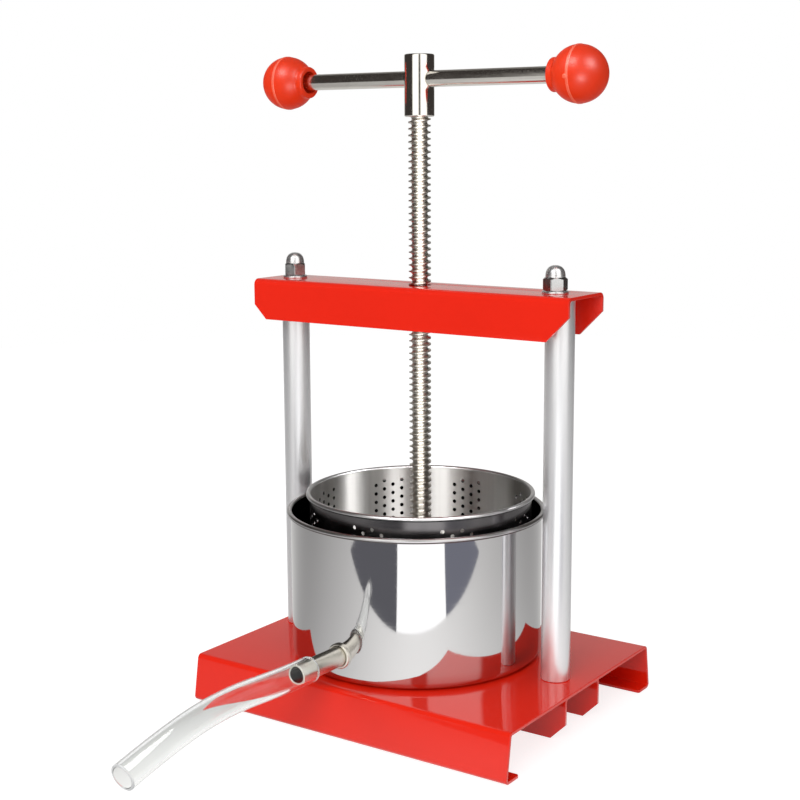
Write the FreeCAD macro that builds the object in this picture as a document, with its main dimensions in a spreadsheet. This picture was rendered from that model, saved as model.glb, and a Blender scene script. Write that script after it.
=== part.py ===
"""Table-top fruit press: a folded base, two columns, a cross beam, and a hand-turned screw
that pushes a plate down into a perforated basket standing in a juice bucket."""
import FreeCAD, Part
import math
import os
import re
import Sketcher

# Driving sizes in millimetres, and one angle in degrees. The origin is the middle of the
# base's footprint on the table, with +X along the beam, -Y towards the spout and +Z up.
SIZES = {
    # where the press axis stands on the base, and the gap left at every running fit
    "axis_x": -4.0,
    "axis_y": 2.5,
    "running_gap": 0.1,
    "hole_gap": 0.25,
    # base: one folded sheet with leaning flanges and turned-in lips
    "base_length": 235.0,
    "base_width": 177.0,
    "base_height": 30.0,
    "base_gauge": 2.0,
    "base_splay": 4.8,
    "base_lip": 15.0,
    "base_bend": 3.0,
    "lip_corner": 1.5,
    # channel under the base
    "channel_end_gap": 2.3,
    "channel_width": 44.0,
    "channel_table_gap": 0.4,
    "channel_cut": 10.0,
    # both channels, under the base and on top, are folded from the same sheet
    "channel_gauge": 2.0,
    "channel_bend": 4.0,
    # beam over the columns
    "beam_overhang": 17.4,
    "beam_width": 44.0,
    "beam_depth": 26.5,
    "beam_left_cut": 9.5,
    "beam_right_cut": 15.0,
    # columns, set in from the base's ends, and the tie rods inside them
    "column_end_gap": 17.4,
    "column_length": 236.7,
    "column_diameter": 18.0,
    "column_bore": 15.2,
    "column_edge": 0.5,
    "rod_diameter": 8.0,
    "rod_tail": 3.0,
    "rod_grip": 10.0,
    "washer_diameter": 16.0,
    "washer_thickness": 1.6,
    "nut_flats": 13.0,
    "nut_height": 6.5,
    "dome_hex_height": 8.0,
    "dome_height": 15.0,
    "dome_diameter": 12.4,
    # screw, its nut and its head
    "screw_diameter": 14.0,
    "screw_length": 263.5,
    "screw_edge": 1.2,
    "spigot_diameter": 11.0,
    "spigot_length": 12.0,
    "journal_diameter": 10.0,
    "journal_length": 13.5,
    "groove_diameter": 7.0,
    "groove_width": 3.2,
    "nut_bush_diameter": 26.0,
    "nut_bush_height": 20.0,
    "nut_bush_edge": 1.0,
    "head_diameter": 18.6,
    "head_height": 37.8,
    "head_edge": 1.0,
    "head_hole_height": 22.8,
    # sliding bar and its ball knobs
    "bar_diameter": 10.0,
    "bar_length": 219.5,
    "bar_edge": 0.6,
    "bar_slid": 4.0,
    "knob_diameter": 34.0,
    "knob_inset": 3.0,
    "knob_neck_diameter": 20.0,
    "knob_neck_reach": 17.5,
    "knob_recess_diameter": 14.0,
    "knob_recess_depth": 1.5,
    # pressing plate, its boss, thrust washer and retaining pins
    "plate_rest_height": 88.0,
    "plate_gap": 1.2,
    "plate_thickness": 6.0,
    "plate_edge": 1.0,
    "boss_diameter": 30.0,
    "boss_height": 14.0,
    "boss_edge": 1.5,
    "thrust_diameter": 22.0,
    "thrust_thickness": 1.0,
    "pin_diameter": 3.0,
    "pin_height": 7.0,
    # bucket, which clears the columns by a named gap, spout and hose
    "column_gap": 10.0,
    "bucket_shift_x": -3.0,
    "bucket_shift_y": -0.5,
    "bucket_yaw": -1.5,
    "bucket_height": 95.6,
    "bucket_gauge": 0.8,
    "bucket_bead": 1.6,
    "bucket_corner": 5.0,
    "spout_height": 17.6,
    "spout_diameter": 12.4,
    "spout_wall": 1.2,
    "spout_reach": 42.0,
    "spout_mouth_edge": 0.4,
    "ring_diameter": 16.0,
    "ring_stand": 2.0,
    "hose_diameter": 16.0,
    # basket, inside the bucket by the gap that the juice runs down
    "juice_gap": 9.6,
    "basket_height": 105.7,
    "basket_gauge": 0.8,
    "basket_bead": 1.5,
    "basket_corner": 4.0,
}

# The hose's centreline, as (distance out from the bucket's wall, height over the spout's
# axis), chosen by eye. The first point is where the hose's end sits on the spout.
HOSE_ROUTE = [
    (28.9, 0.0),
    (52.9, 0.0),
    (98.9, 3.0),
    (141.9, -2.0),
    (180.9, -13.0),
]
ARC_SHARE = 0.45

doc = FreeCAD.newDocument("fruit_press")
sheet = doc.addObject("Spreadsheet::Sheet", "sizes")
for row, (alias, number) in enumerate(SIZES.items(), start=1):
    sheet.set("A%d" % row, alias)
    sheet.set("B%d" % row, str(number))
    sheet.setAlias("B%d" % row, alias)
doc.recompute()

sub_parts = []


def size(expression):
    """The current number of an expression written in the sheet's aliases."""
    return float(sheet.evalExpression(expression))


def bound(expression):
    """The same expression as another object writes it, with each alias led by the sheet."""
    def lead(word):
        return "sizes." + word[0] if word[0] in SIZES else word[0]
    return re.sub("[a-z_]+", lead, expression)


def bind(target, **expressions):
    """Bind properties, named with underscores for dots, to the sheet."""
    for key, expression in expressions.items():
        target.setExpression(key.replace("_", "."), bound(expression))


def place(target, x="0", y="0", z="0"):
    """Bind where an object stands."""
    bind(target, Placement_Base_x=x, Placement_Base_y=y, Placement_Base_z=z)


def new_body(label, x="0", y="0", z="0"):
    """A body of its own for one sub-part."""
    body = doc.addObject("PartDesign::Body", label)
    body.Label = label
    place(body, x, y, z)
    sub_parts.append(body)
    return body


def new_sketch(body, name, role):
    """An empty sketch on one of the body's own origin planes."""
    sketch = body.newObject("Sketcher::SketchObject", name)
    plane = [item for item in body.Origin.OriginFeatures if item.Role == role][0]
    sketch.AttachmentSupport = [(plane, "")]
    sketch.MapMode = "FlatFace"
    return sketch


def pin_point(sketch, geometry, point, x, y):
    """Hold one point of a sketch at a place bound to the sheet."""
    for kind, expression in (("DistanceX", x), ("DistanceY", y)):
        constraint = Sketcher.Constraint(kind, -1, 1, geometry, point, size(expression))
        index = sketch.addConstraint(constraint)
        sketch.setExpression("Constraints[%d]" % index, bound(expression))


def draw_outline(sketch, corners):
    """A closed outline of straight edges through corners given as pairs of expressions."""
    points = [FreeCAD.Vector(size(x), size(y), 0) for x, y in corners]
    first = sketch.GeometryCount
    count = len(points)
    for k in range(count):
        sketch.addGeometry(Part.LineSegment(points[k], points[(k + 1) % count]), False)
    for k in range(count):
        following = first + (k + 1) % count
        sketch.addConstraint(Sketcher.Constraint("Coincident", first + k, 2, following, 1))
    for k, (x, y) in enumerate(corners):
        pin_point(sketch, first + k, 1, x, y)


def draw_circle(sketch, x, y, radius):
    """A circle whose centre and radius are bound to the sheet."""
    centre = FreeCAD.Vector(size(x), size(y), 0)
    circle = Part.Circle(centre, FreeCAD.Vector(0, 0, 1), size(radius))
    geometry = sketch.addGeometry(circle, False)
    pin_point(sketch, geometry, 3, x, y)
    index = sketch.addConstraint(Sketcher.Constraint("Radius", geometry, size(radius)))
    sketch.setExpression("Constraints[%d]" % index, bound(radius))


def revolve(body, sketch, name, axis="V_Axis", kind="PartDesign::Revolution"):
    """Turn a sketch fully round one of its own axes."""
    feature = body.newObject(kind, name)
    feature.Profile = sketch
    feature.ReferenceAxis = (sketch, [axis])
    feature.Angle = 360
    doc.recompute()
    return feature


def pad_both_ways(body, sketch, name, length):
    """Pad a sketch by half the length to each side."""
    feature = body.newObject("PartDesign::Pad", name)
    feature.Profile = sketch
    feature.Midplane = True
    bind(feature, Length=length)
    doc.recompute()
    return feature


def cut_through(body, sketch, name, length):
    """Cut a sketch through the body, by half the length to each side."""
    before = body.Shape.Volume
    feature = body.newObject("PartDesign::Pocket", name)
    feature.Profile = sketch
    feature.Midplane = True
    bind(feature, Length=length)
    doc.recompute()
    assert body.Shape.Volume < before, "%s cuts nothing" % name
    return feature


def edges_where(feature, chosen):
    """Names of the feature's edges that pass a test."""
    names = []
    for number, edge in enumerate(feature.Shape.Edges, start=1):
        if chosen(edge):
            names.append("Edge%d" % number)
    return names


def dress(body, kind, name, base, chosen, key, amount):
    """Round or bevel the edges that pass a test."""
    feature = body.newObject("PartDesign::" + kind, name)
    feature.Base = (base, edges_where(base, chosen))
    feature.setExpression(key, bound(amount))
    doc.recompute()
    return feature


def close(a, b):
    return abs(a - b) < 1e-4


def runs_along_x(edge, y, z):
    """True for a straight edge along X whose distance from the middle is y, at height z."""
    box = edge.BoundBox
    straight = box.YLength < 1e-4 and box.ZLength < 1e-4
    return straight and close(abs(box.YMin), y) and close(box.ZMin, z)


def turned(label, corners, x="0", y="0", z="0"):
    """A body turned round its own upright axis from an outline of (radius, height)."""
    body = new_body(label, x, y, z)
    sketch = new_sketch(body, label + "_profile", "XZ_Plane")
    draw_outline(sketch, corners)
    revolve(body, sketch, label + "_turning")
    return body


def ring_profile(inner, outer, height, edge="0"):
    """Outline of a tube or washer, with its two outer edges bevelled."""
    if edge == "0":
        return [(inner, "0"), (outer, "0"), (outer, height), (inner, height)]
    return [
        (inner, "0"),
        (outer + " - " + edge, "0"),
        (outer, edge),
        (outer, height + " - " + edge),
        (outer + " - " + edge, height),
        (inner, height),
    ]


def total(*terms):
    """One expression that adds up others."""
    return "(" + " + ".join(terms) + ")"


# Places that several pieces share, as expressions.
AXIS_X = "axis_x"
AXIS_Y = "axis_y"
BEAM_TOP = total("base_height", "column_length", "channel_gauge")
PLATE_TOP = total("plate_rest_height", "plate_thickness")
BOSS_TOP = total(PLATE_TOP, "boss_height")
SCREW_FOOT = total(BOSS_TOP, "thrust_thickness", "running_gap")
HEAD_FOOT = total(SCREW_FOOT, "screw_length")
BAR_HEIGHT = total(HEAD_FOOT, "head_hole_height")
CHANNEL_FOOT = "(base_height - base_gauge - channel_gauge)"
ROD_HOLE = total("rod_diameter / 2", "hole_gap")
SIDES = (("left", "-1"), ("right", "1"))

# Sizes that follow from the base's length and the gaps left between the pieces.
COLUMN_SPACING = "(base_length - 2 * column_end_gap)"
CHANNEL_LENGTH = "(base_length - 2 * channel_end_gap)"
BEAM_LENGTH = total(COLUMN_SPACING, "2 * beam_overhang")
BUCKET_RADIUS = "(%s / 2 - column_diameter / 2 - column_gap)" % COLUMN_SPACING
BASKET_RADIUS = "(%s - juice_gap)" % BUCKET_RADIUS
PLATE_RADIUS = "(%s - basket_gauge - plate_gap)" % BASKET_RADIUS


# How far each tie rod stands inwards of its column's axis: the right one leans on the bore.
ROD_INSET = {"left": "0", "right": "((column_bore - rod_diameter) / 2 - running_gap)"}


def rod_x(name, side, middle_x):
    """Where a tie rod stands, given where the press axis is."""
    return "%s + %s * (%s / 2 - %s)" % (middle_x, side, COLUMN_SPACING, ROD_INSET[name])


def rod_holes(body, name, middle_x, middle_y, length):
    """The two tie-rod holes, given where the sketch's origin sees the press axis."""
    sketch = new_sketch(body, name + "_sketch", "XY_Plane")
    for side_name, side in SIDES:
        draw_circle(sketch, rod_x(side_name, side, middle_x), middle_y, ROD_HOLE)
    return cut_through(body, sketch, name, length)


def make_base():
    """Folded sheet: flat top, flanges that lean outwards, and lips turned in at the foot."""
    body = new_body("base_plate")
    sketch = new_sketch(body, "base_profile", "YZ_Plane")
    slope = "(base_splay / base_height)"
    sheet_across = "base_gauge * sqrt(1 + %s ^ 2)" % slope
    outer_top = "base_width / 2"
    outer_foot = "base_width / 2 + base_splay"
    inner_top = "base_width / 2 + base_gauge * %s - %s" % (slope, sheet_across)
    inner_foot = "base_width / 2 + base_splay - base_gauge * %s - %s" % (slope, sheet_across)
    lip_end = "base_width / 2 + base_splay - base_lip"
    half = [
        (lip_end, "0"),
        (outer_foot, "0"),
        (outer_top, "base_height"),
    ]
    inner_half = [
        (inner_top, "base_height - base_gauge"),
        (inner_foot, "base_gauge"),
        (lip_end, "base_gauge"),
    ]
    mirrored_outer = [("-(%s)" % y, z) for y, z in reversed(half)]
    mirrored_inner = [("-(%s)" % y, z) for y, z in reversed(inner_half)]
    draw_outline(sketch, half + mirrored_outer + mirrored_inner + inner_half)
    pad = pad_both_ways(body, sketch, "base_sheet", "base_length")

    def outside_bend(edge):
        return (runs_along_x(edge, size(outer_top), size("base_height"))
                or runs_along_x(edge, size(outer_foot), 0))

    def inside_bend(edge):
        return (runs_along_x(edge, size(inner_top), size("base_height - base_gauge"))
                or runs_along_x(edge, size(inner_foot), size("base_gauge")))

    def lip_corner(edge):
        box = edge.BoundBox
        upright = box.XLength < 1e-4 and box.YLength < 1e-4
        return upright and close(abs(box.YMin), size(lip_end))

    outer = dress(body, "Fillet", "base_outer_bends", pad, outside_bend, "Radius", "base_bend")
    inner = dress(body, "Fillet", "base_inner_bends", outer, inside_bend, "Radius",
                  "base_bend - base_gauge")
    dress(body, "Fillet", "base_lip_corners", inner, lip_corner, "Radius", "lip_corner")
    rod_holes(body, "base_rod_holes", AXIS_X, AXIS_Y, "2 * base_height + 2")


def make_channel(label, length, width, depth, left_cut, right_cut, x, y, top):
    """A sheet folded to a U that opens downwards, with the flanges' end corners cut off.
    Its own origin is the middle of its upper face."""
    body = new_body(label, x, y, top)
    sketch = new_sketch(body, label + "_profile", "YZ_Plane")
    outer = width + " / 2"
    inner = width + " / 2 - channel_gauge"
    foot = "-(%s)" % depth
    draw_outline(sketch, [
        ("-(%s)" % outer, "0"),
        (outer, "0"),
        (outer, foot),
        (inner, foot),
        (inner, "-channel_gauge"),
        ("-(%s)" % inner, "-channel_gauge"),
        ("-(%s)" % inner, foot),
        ("-(%s)" % outer, foot),
    ])
    pad = pad_both_ways(body, sketch, label + "_sheet", length)

    def outside_bend(edge):
        return runs_along_x(edge, size(outer), 0)

    def inside_bend(edge):
        return runs_along_x(edge, size(inner), size("-channel_gauge"))

    bent = dress(body, "Fillet", label + "_outer_bends", pad, outside_bend, "Radius",
                 "channel_bend")
    dress(body, "Fillet", label + "_inner_bends", bent, inside_bend, "Radius",
          "channel_bend - channel_gauge")
    corners = new_sketch(body, label + "_corners", "XZ_Plane")
    for sign, cut in (("-", left_cut), ("", right_cut)):
        end = "%s(%s / 2)" % (sign, length)
        inward = "%s(%s / 2 - %s)" % (sign, length, cut)
        draw_outline(corners, [(end, foot), (end, foot + " + " + cut), (inward, foot)])
    cut_through(body, corners, label + "_corner_cuts", width + " + 2")
    return body


def make_base_channel():
    """Stiffener under the base, which takes the tie rods' lower nuts."""
    body = make_channel("base_channel", CHANNEL_LENGTH, "channel_width",
                        "base_height - base_gauge - channel_table_gap",
                        "channel_cut", "channel_cut", "0", AXIS_Y, "base_height - base_gauge")
    rod_holes(body, "base_channel_rod_holes", AXIS_X, "0", "4 * channel_gauge")


def make_beam():
    """Cross beam over the columns, with the screw's way through its middle."""
    body = make_channel("top_beam", BEAM_LENGTH, "beam_width", "beam_depth",
                        "beam_left_cut", "beam_right_cut", AXIS_X, AXIS_Y, BEAM_TOP)
    rod_holes(body, "beam_rod_holes", "0", "0", "4 * channel_gauge")
    sketch = new_sketch(body, "beam_screw_sketch", "XY_Plane")
    draw_circle(sketch, "0", "0", "screw_diameter / 2 + hole_gap")
    cut_through(body, sketch, "beam_screw_hole", "4 * channel_gauge")


def make_columns():
    """Two tubes, each clamped between base and beam by a rod with a dome nut on top."""
    for name, side in SIDES:
        x = "axis_x + %s * %s / 2" % (side, COLUMN_SPACING)
        tube = ring_profile("column_bore / 2", "column_diameter / 2", "column_length",
                            "column_edge")
        turned(name + "_column", tube, x, AXIS_Y, "base_height")
        x = rod_x(name, side, AXIS_X)
        foot = CHANNEL_FOOT + " - washer_thickness - nut_height - rod_tail"
        rod_length = "%s + washer_thickness + rod_grip - (%s)" % (BEAM_TOP, foot)
        rod = [("0", "0"), ("rod_diameter / 2", "0"), ("rod_diameter / 2", rod_length),
               ("0", rod_length)]
        turned(name + "_tie_rod", rod, x, AXIS_Y, foot)
        washer = ring_profile(ROD_HOLE, "washer_diameter / 2", "washer_thickness")
        turned(name + "_top_washer", washer, x, AXIS_Y, BEAM_TOP)
        turned(name + "_base_washer", washer, x, AXIS_Y, CHANNEL_FOOT + " - washer_thickness")
        make_dome_nut(name + "_dome_nut", x, BEAM_TOP + " + washer_thickness")
        make_base_nut(name + "_base_nut", x, CHANNEL_FOOT + " - washer_thickness - nut_height")


def primitive(body, kind, name, turn=None, x="0", y="0", z="0", **expressions):
    """A PartDesign primitive, turned by a fixed rotation and placed by the sheet."""
    feature = body.newObject("PartDesign::" + kind, name)
    if turn is not None:
        feature.Placement = FreeCAD.Placement(FreeCAD.Vector(), turn)
    place(feature, x, y, z)
    bind(feature, **expressions)
    doc.recompute()
    return feature


def make_hexagon(body, name, height):
    """Upright hexagonal prism, as wide over its flats as the nuts are."""
    prism = primitive(body, "AdditivePrism", name, Circumradius="nut_flats / sqrt(3)",
                      Height=height)
    prism.Polygon = 6
    return prism


def make_dome_nut(label, x, z):
    """Closed cap nut: hexagon, short neck and half ball."""
    body = new_body(label, x, AXIS_Y, z)
    make_hexagon(body, label + "_hexagon", "dome_hex_height")
    neck = "dome_height - dome_diameter / 2"
    primitive(body, "AdditiveCylinder", label + "_neck", Radius="dome_diameter / 2",
              Height=neck)
    primitive(body, "AdditiveSphere", label + "_dome", z=neck, Radius="dome_diameter / 2")
    primitive(body, "SubtractiveCylinder", label + "_bore",
              Radius="rod_diameter / 2 + running_gap", Height="rod_grip + running_gap")


def make_base_nut(label, x, z):
    """Plain nut at the lower end of a tie rod."""
    body = new_body(label, x, AXIS_Y, z)
    make_hexagon(body, label + "_hexagon", "nut_height")
    primitive(body, "SubtractiveCylinder", label + "_bore",
              Radius="rod_diameter / 2 + running_gap", Height="nut_height")


def make_press_nut():
    """Threaded bush welded under the beam's web."""
    bush = ring_profile("screw_diameter / 2 + running_gap", "nut_bush_diameter / 2",
                        "nut_bush_height", "nut_bush_edge")
    turned("press_nut", bush, AXIS_X, AXIS_Y, BEAM_TOP + " - channel_gauge - nut_bush_height")


def make_screw():
    """Screw: grooved journal below, thread in the middle, spigot for the head on top."""
    groove_middle = "(pin_height - boss_height - thrust_thickness - running_gap)"
    groove_foot = groove_middle + " - groove_width / 2"
    groove_top = groove_middle + " + groove_width / 2"
    turned("press_screw", [
        ("0", "-journal_length"),
        ("journal_diameter / 2", "-journal_length"),
        ("journal_diameter / 2", groove_foot),
        ("groove_diameter / 2", groove_foot),
        ("groove_diameter / 2", groove_top),
        ("journal_diameter / 2", groove_top),
        ("journal_diameter / 2", "0"),
        ("screw_diameter / 2 - screw_edge", "0"),
        ("screw_diameter / 2", "screw_edge"),
        ("screw_diameter / 2", "screw_length"),
        ("spigot_diameter / 2", "screw_length"),
        ("spigot_diameter / 2", "screw_length + spigot_length"),
        ("0", "screw_length + spigot_length"),
    ], AXIS_X, AXIS_Y, SCREW_FOOT)


def make_head():
    """Turned head on the screw's spigot, cross-drilled for the sliding bar."""
    spigot_hole = "spigot_diameter / 2 + running_gap"
    socket_top = "spigot_length + running_gap"
    body = turned("screw_head", [
        (spigot_hole, "0"),
        ("head_diameter / 2 - head_edge", "0"),
        ("head_diameter / 2", "head_edge"),
        ("head_diameter / 2", "head_height - head_edge"),
        ("head_diameter / 2 - head_edge", "head_height"),
        ("0", "head_height"),
        ("0", socket_top),
        (spigot_hole, socket_top),
    ], AXIS_X, AXIS_Y, HEAD_FOOT)
    sketch = new_sketch(body, "head_hole_sketch", "YZ_Plane")
    draw_circle(sketch, "0", "head_hole_height", "bar_diameter / 2 + running_gap")
    cut_through(body, sketch, "head_cross_hole", "head_diameter + 2")


def make_bar():
    """Straight bar that slides through the head, with its ends bevelled."""
    body = new_body("tommy_bar", "axis_x + bar_slid", AXIS_Y, BAR_HEIGHT)
    sketch = new_sketch(body, "bar_profile", "XZ_Plane")
    end = "bar_length / 2"
    draw_outline(sketch, [
        ("-(%s)" % end, "0"),
        ("-(%s)" % end, "bar_diameter / 2 - bar_edge"),
        ("-(%s) + bar_edge" % end, "bar_diameter / 2"),
        (end + " - bar_edge", "bar_diameter / 2"),
        (end, "bar_diameter / 2 - bar_edge"),
        (end, "0"),
    ])
    revolve(body, sketch, "bar_turning", "H_Axis")


def make_knobs():
    """Moulded ball knobs on the bar's ends, each with a short neck recessed round the bar."""
    inward = {"left": FreeCAD.Rotation(FreeCAD.Vector(0, 1, 0), 90),
              "right": FreeCAD.Rotation(FreeCAD.Vector(0, 1, 0), -90)}
    for name, side in SIDES:
        label = name + "_knob"
        x = "axis_x + bar_slid + %s * (bar_length / 2 - knob_inset)" % side
        body = new_body(label, x, AXIS_Y, BAR_HEIGHT)
        turn = inward[name]
        inner_end = "-(%s) * knob_neck_reach" % side
        primitive(body, "AdditiveSphere", label + "_ball", Radius="knob_diameter / 2")
        primitive(body, "AdditiveCylinder", label + "_neck", turn,
                  Radius="knob_neck_diameter / 2", Height="knob_neck_reach")
        primitive(body, "SubtractiveCylinder", label + "_recess", turn,
                  x="-(%s) * (knob_neck_reach - knob_recess_depth)" % side,
                  Radius="knob_recess_diameter / 2", Height="knob_recess_depth + 1")
        back = FreeCAD.Rotation(turn.Axis, 180 + math.degrees(turn.Angle))
        primitive(body, "SubtractiveCylinder", label + "_bore", back, x=inner_end,
                  Radius="bar_diameter / 2 + running_gap",
                  Height="knob_neck_reach + knob_inset + running_gap")


def make_plate():
    """Pressing plate with the boss that holds the screw's journal."""
    disc = ring_profile("0", PLATE_RADIUS, "plate_thickness", "plate_edge")
    turned("press_plate", disc, AXIS_X, AXIS_Y, "plate_rest_height")
    boss_bore = "journal_diameter / 2 + running_gap"
    boss = turned("plate_boss", [
        (boss_bore, "0"),
        ("boss_diameter / 2", "0"),
        ("boss_diameter / 2", "boss_height - boss_edge"),
        ("boss_diameter / 2 - boss_edge", "boss_height"),
        (boss_bore, "boss_height"),
    ], AXIS_X, AXIS_Y, PLATE_TOP)
    pin_x = "(groove_diameter / 2 + running_gap + pin_diameter / 2)"
    sketch = new_sketch(boss, "boss_pin_sketch", "XZ_Plane")
    for _, side in SIDES:
        draw_circle(sketch, "%s * %s" % (side, pin_x), "pin_height", "pin_diameter / 2")
    cut_through(boss, sketch, "boss_pin_holes", "boss_diameter + 2")
    washer = ring_profile(boss_bore, "thrust_diameter / 2", "thrust_thickness")
    turned("thrust_washer", washer, AXIS_X, AXIS_Y, BOSS_TOP)
    for name, side in SIDES:
        label = name + "_retaining_pin"
        body = new_body(label, "axis_x + %s * %s" % (side, pin_x), AXIS_Y,
                        PLATE_TOP + " + pin_height")
        sketch = new_sketch(body, label + "_sketch", "XZ_Plane")
        draw_circle(sketch, "0", "0", "pin_diameter / 2")
        chord = "2 * sqrt((boss_diameter / 2) ^ 2 - (%s + pin_diameter / 2) ^ 2)" % pin_x
        pad_both_ways(body, sketch, label + "_rod", chord)


def make_vessel(label, radius, height, gauge, bead, corner, x, y, z):
    """Thin drawn vessel with a flat floor, a rounded corner and a rolled bead at the rim."""
    body = new_body(label, x, y, z)
    wall = new_sketch(body, label + "_profile", "XZ_Plane")
    inner = "%s - %s" % (radius, gauge)
    brim = "%s - %s" % (height, bead)
    draw_outline(wall, [("0", "0"), (radius, "0"), (radius, brim), (inner, brim),
                        (inner, gauge), ("0", gauge)])
    shell = revolve(body, wall, label + "_shell")

    def floor_circle(at_radius, at_height):
        def chosen(edge):
            box = edge.BoundBox
            return close(box.ZMin, at_height) and close(box.ZMax, at_height) and close(
                box.XMax, at_radius)
        return chosen

    outer = dress(body, "Fillet", label + "_outer_corner", shell, floor_circle(size(radius), 0),
                  "Radius", corner)
    dress(body, "Fillet", label + "_inner_corner", outer,
          floor_circle(size(inner), size(gauge)), "Radius", "%s - %s" % (corner, gauge))
    rim = new_sketch(body, label + "_bead_profile", "XZ_Plane")
    draw_circle(rim, "%s + %s" % (inner, bead), brim, bead)
    revolve(body, rim, label + "_bead")
    return body


BUCKET_X = "axis_x + bucket_shift_x"
BUCKET_Y = "axis_y + bucket_shift_y"
BUCKET_FOOT = "base_height + running_gap"
BUCKET_TURN = FreeCAD.Rotation(FreeCAD.Vector(0, 0, 1), size("bucket_yaw"))
SPOUT_ALONG = FreeCAD.Rotation(FreeCAD.Vector(1, 0, 0), 90)


def turn_with_bucket(body):
    """Turn a body as the bucket stands turned, keeping its bound place."""
    body.Placement = FreeCAD.Placement(body.Placement.Base, BUCKET_TURN)


def make_bucket():
    """Polished juice bucket with the outlet's hole low in its wall."""
    body = make_vessel("bucket", BUCKET_RADIUS, "bucket_height", "bucket_gauge",
                       "bucket_bead", "bucket_corner", BUCKET_X, BUCKET_Y, BUCKET_FOOT)
    turn_with_bucket(body)
    before = body.Shape.Volume
    primitive(body, "SubtractiveCylinder", "bucket_outlet", SPOUT_ALONG,
              y="-%s + 2 * bucket_corner" % BUCKET_RADIUS, z="spout_height",
              Radius="spout_diameter / 2 + running_gap", Height="4 * bucket_corner")
    assert body.Shape.Volume < before, "the outlet cuts nothing"


def make_spout():
    """Outlet tube through the bucket's wall, and the ring that seats it there."""
    bore = "(spout_diameter / 2 - spout_wall)"
    body = new_body("spout", BUCKET_X, BUCKET_Y, BUCKET_FOOT)
    sketch = new_sketch(body, "spout_profile", "YZ_Plane")
    inner_end = "-(%s - bucket_gauge - spout_wall)" % BUCKET_RADIUS
    mouth = "-(%s + spout_reach)" % BUCKET_RADIUS
    draw_outline(sketch, [
        (inner_end, "spout_height + " + bore),
        (inner_end, "spout_height + spout_diameter / 2"),
        (mouth + " + spout_mouth_edge", "spout_height + spout_diameter / 2"),
        (mouth, "spout_height + spout_diameter / 2 - spout_mouth_edge"),
        (mouth, "spout_height + " + bore),
    ])
    axis = sketch.addGeometry(Part.LineSegment(
        FreeCAD.Vector(size(inner_end), size("spout_height"), 0),
        FreeCAD.Vector(size(mouth), size("spout_height"), 0)), True)
    pin_point(sketch, axis, 1, inner_end, "spout_height")
    pin_point(sketch, axis, 2, mouth, "spout_height")
    revolve(body, sketch, "spout_turning", "Axis0")
    turn_with_bucket(body)

    ring = new_body("spout_ring", BUCKET_X, BUCKET_Y, BUCKET_FOOT)
    primitive(ring, "AdditiveCylinder", "ring_blank", SPOUT_ALONG,
              y="-%s + bucket_corner" % BUCKET_RADIUS, z="spout_height",
              Radius="ring_diameter / 2", Height="bucket_corner + ring_stand")
    primitive(ring, "SubtractiveCylinder", "ring_bore", SPOUT_ALONG,
              y="-%s + 2 * bucket_corner" % BUCKET_RADIUS, z="spout_height",
              Radius="spout_diameter / 2 + running_gap", Height="4 * bucket_corner")
    primitive(ring, "SubtractiveCylinder", "ring_seat", None,
              Radius=BUCKET_RADIUS, Height="bucket_height")
    turn_with_bucket(ring)


def make_basket():
    """Straining basket that stands on the bucket's floor, centred under the screw."""
    make_vessel("basket", BASKET_RADIUS, "basket_height", "basket_gauge", "basket_bead",
                "basket_corner", AXIS_X, AXIS_Y, BUCKET_FOOT + " + bucket_gauge + running_gap")


def hose_points():
    """The route's points as the bucket's own origin sees them."""
    wall = size(BUCKET_RADIUS)
    spout = size("spout_height")
    return [FreeCAD.Vector(0, -wall - out, spout + up) for out, up in HOSE_ROUTE]


def hose_path(points):
    """Straight runs joined by tangent arcs, each as large as its two runs allow."""
    edges = []
    start = points[0]
    for before, corner, after in zip(points, points[1:], points[2:]):
        back = (before - corner).normalize()
        ahead = (after - corner).normalize()
        turn = math.pi - back.getAngle(ahead)
        shorter = min((before - corner).Length, (after - corner).Length)
        reach = ARC_SHARE * shorter
        radius = reach / math.tan(turn / 2)
        bisector = (back + ahead).normalize()
        middle = corner + bisector * (radius / math.cos(turn / 2) - radius)
        print("hose bend radius %.0f mm" % radius)
        edges.append(Part.LineSegment(start, corner + back * reach).toShape())
        edges.append(Part.Arc(corner + back * reach, middle, corner + ahead * reach).toShape())
        start = corner + ahead * reach
    edges.append(Part.LineSegment(start, points[-1]).toShape())
    return Part.Wire(edges)


def make_hose():
    """Clear hose pushed over the spout's mouth, held stiffly out past the base."""
    points = hose_points()
    path = hose_path(points)
    start = points[0]
    outward = FreeCAD.Vector(0, -1, 0)

    def tube(radius):
        circle = Part.Wire([Part.makeCircle(radius, start, outward)])
        return path.makePipeShell([circle], True, True)

    outer = size("hose_diameter / 2")
    inner = size("spout_diameter / 2 + running_gap")
    hose = doc.addObject("Part::Feature", "hose")
    hose.Label = "hose"
    hose.Shape = tube(outer).cut(tube(inner))
    expected = math.pi * (outer ** 2 - inner ** 2) * path.Length
    assert abs(hose.Shape.Volume / expected - 1) < 0.01, "the hose's volume is off"
    stands = FreeCAD.Vector(size(BUCKET_X), size(BUCKET_Y), size(BUCKET_FOOT))
    hose.Placement = FreeCAD.Placement(stands, BUCKET_TURN)
    sub_parts.append(hose)


make_base()
make_base_channel()
make_columns()
make_beam()
make_press_nut()
make_screw()
make_head()
make_bar()
make_knobs()
make_plate()
make_basket()
make_bucket()
make_spout()
make_hose()
doc.recompute()

for item in doc.Objects:
    wrong = [state for state in item.State if state in ("Invalid", "Error")]
    assert not wrong, "%s is %s" % (item.Label, wrong)
for part in sub_parts:
    assert not part.Shape.isNull(), "%s is empty" % part.Label
    assert part.Shape.isValid(), "%s is not valid" % part.Label

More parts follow.
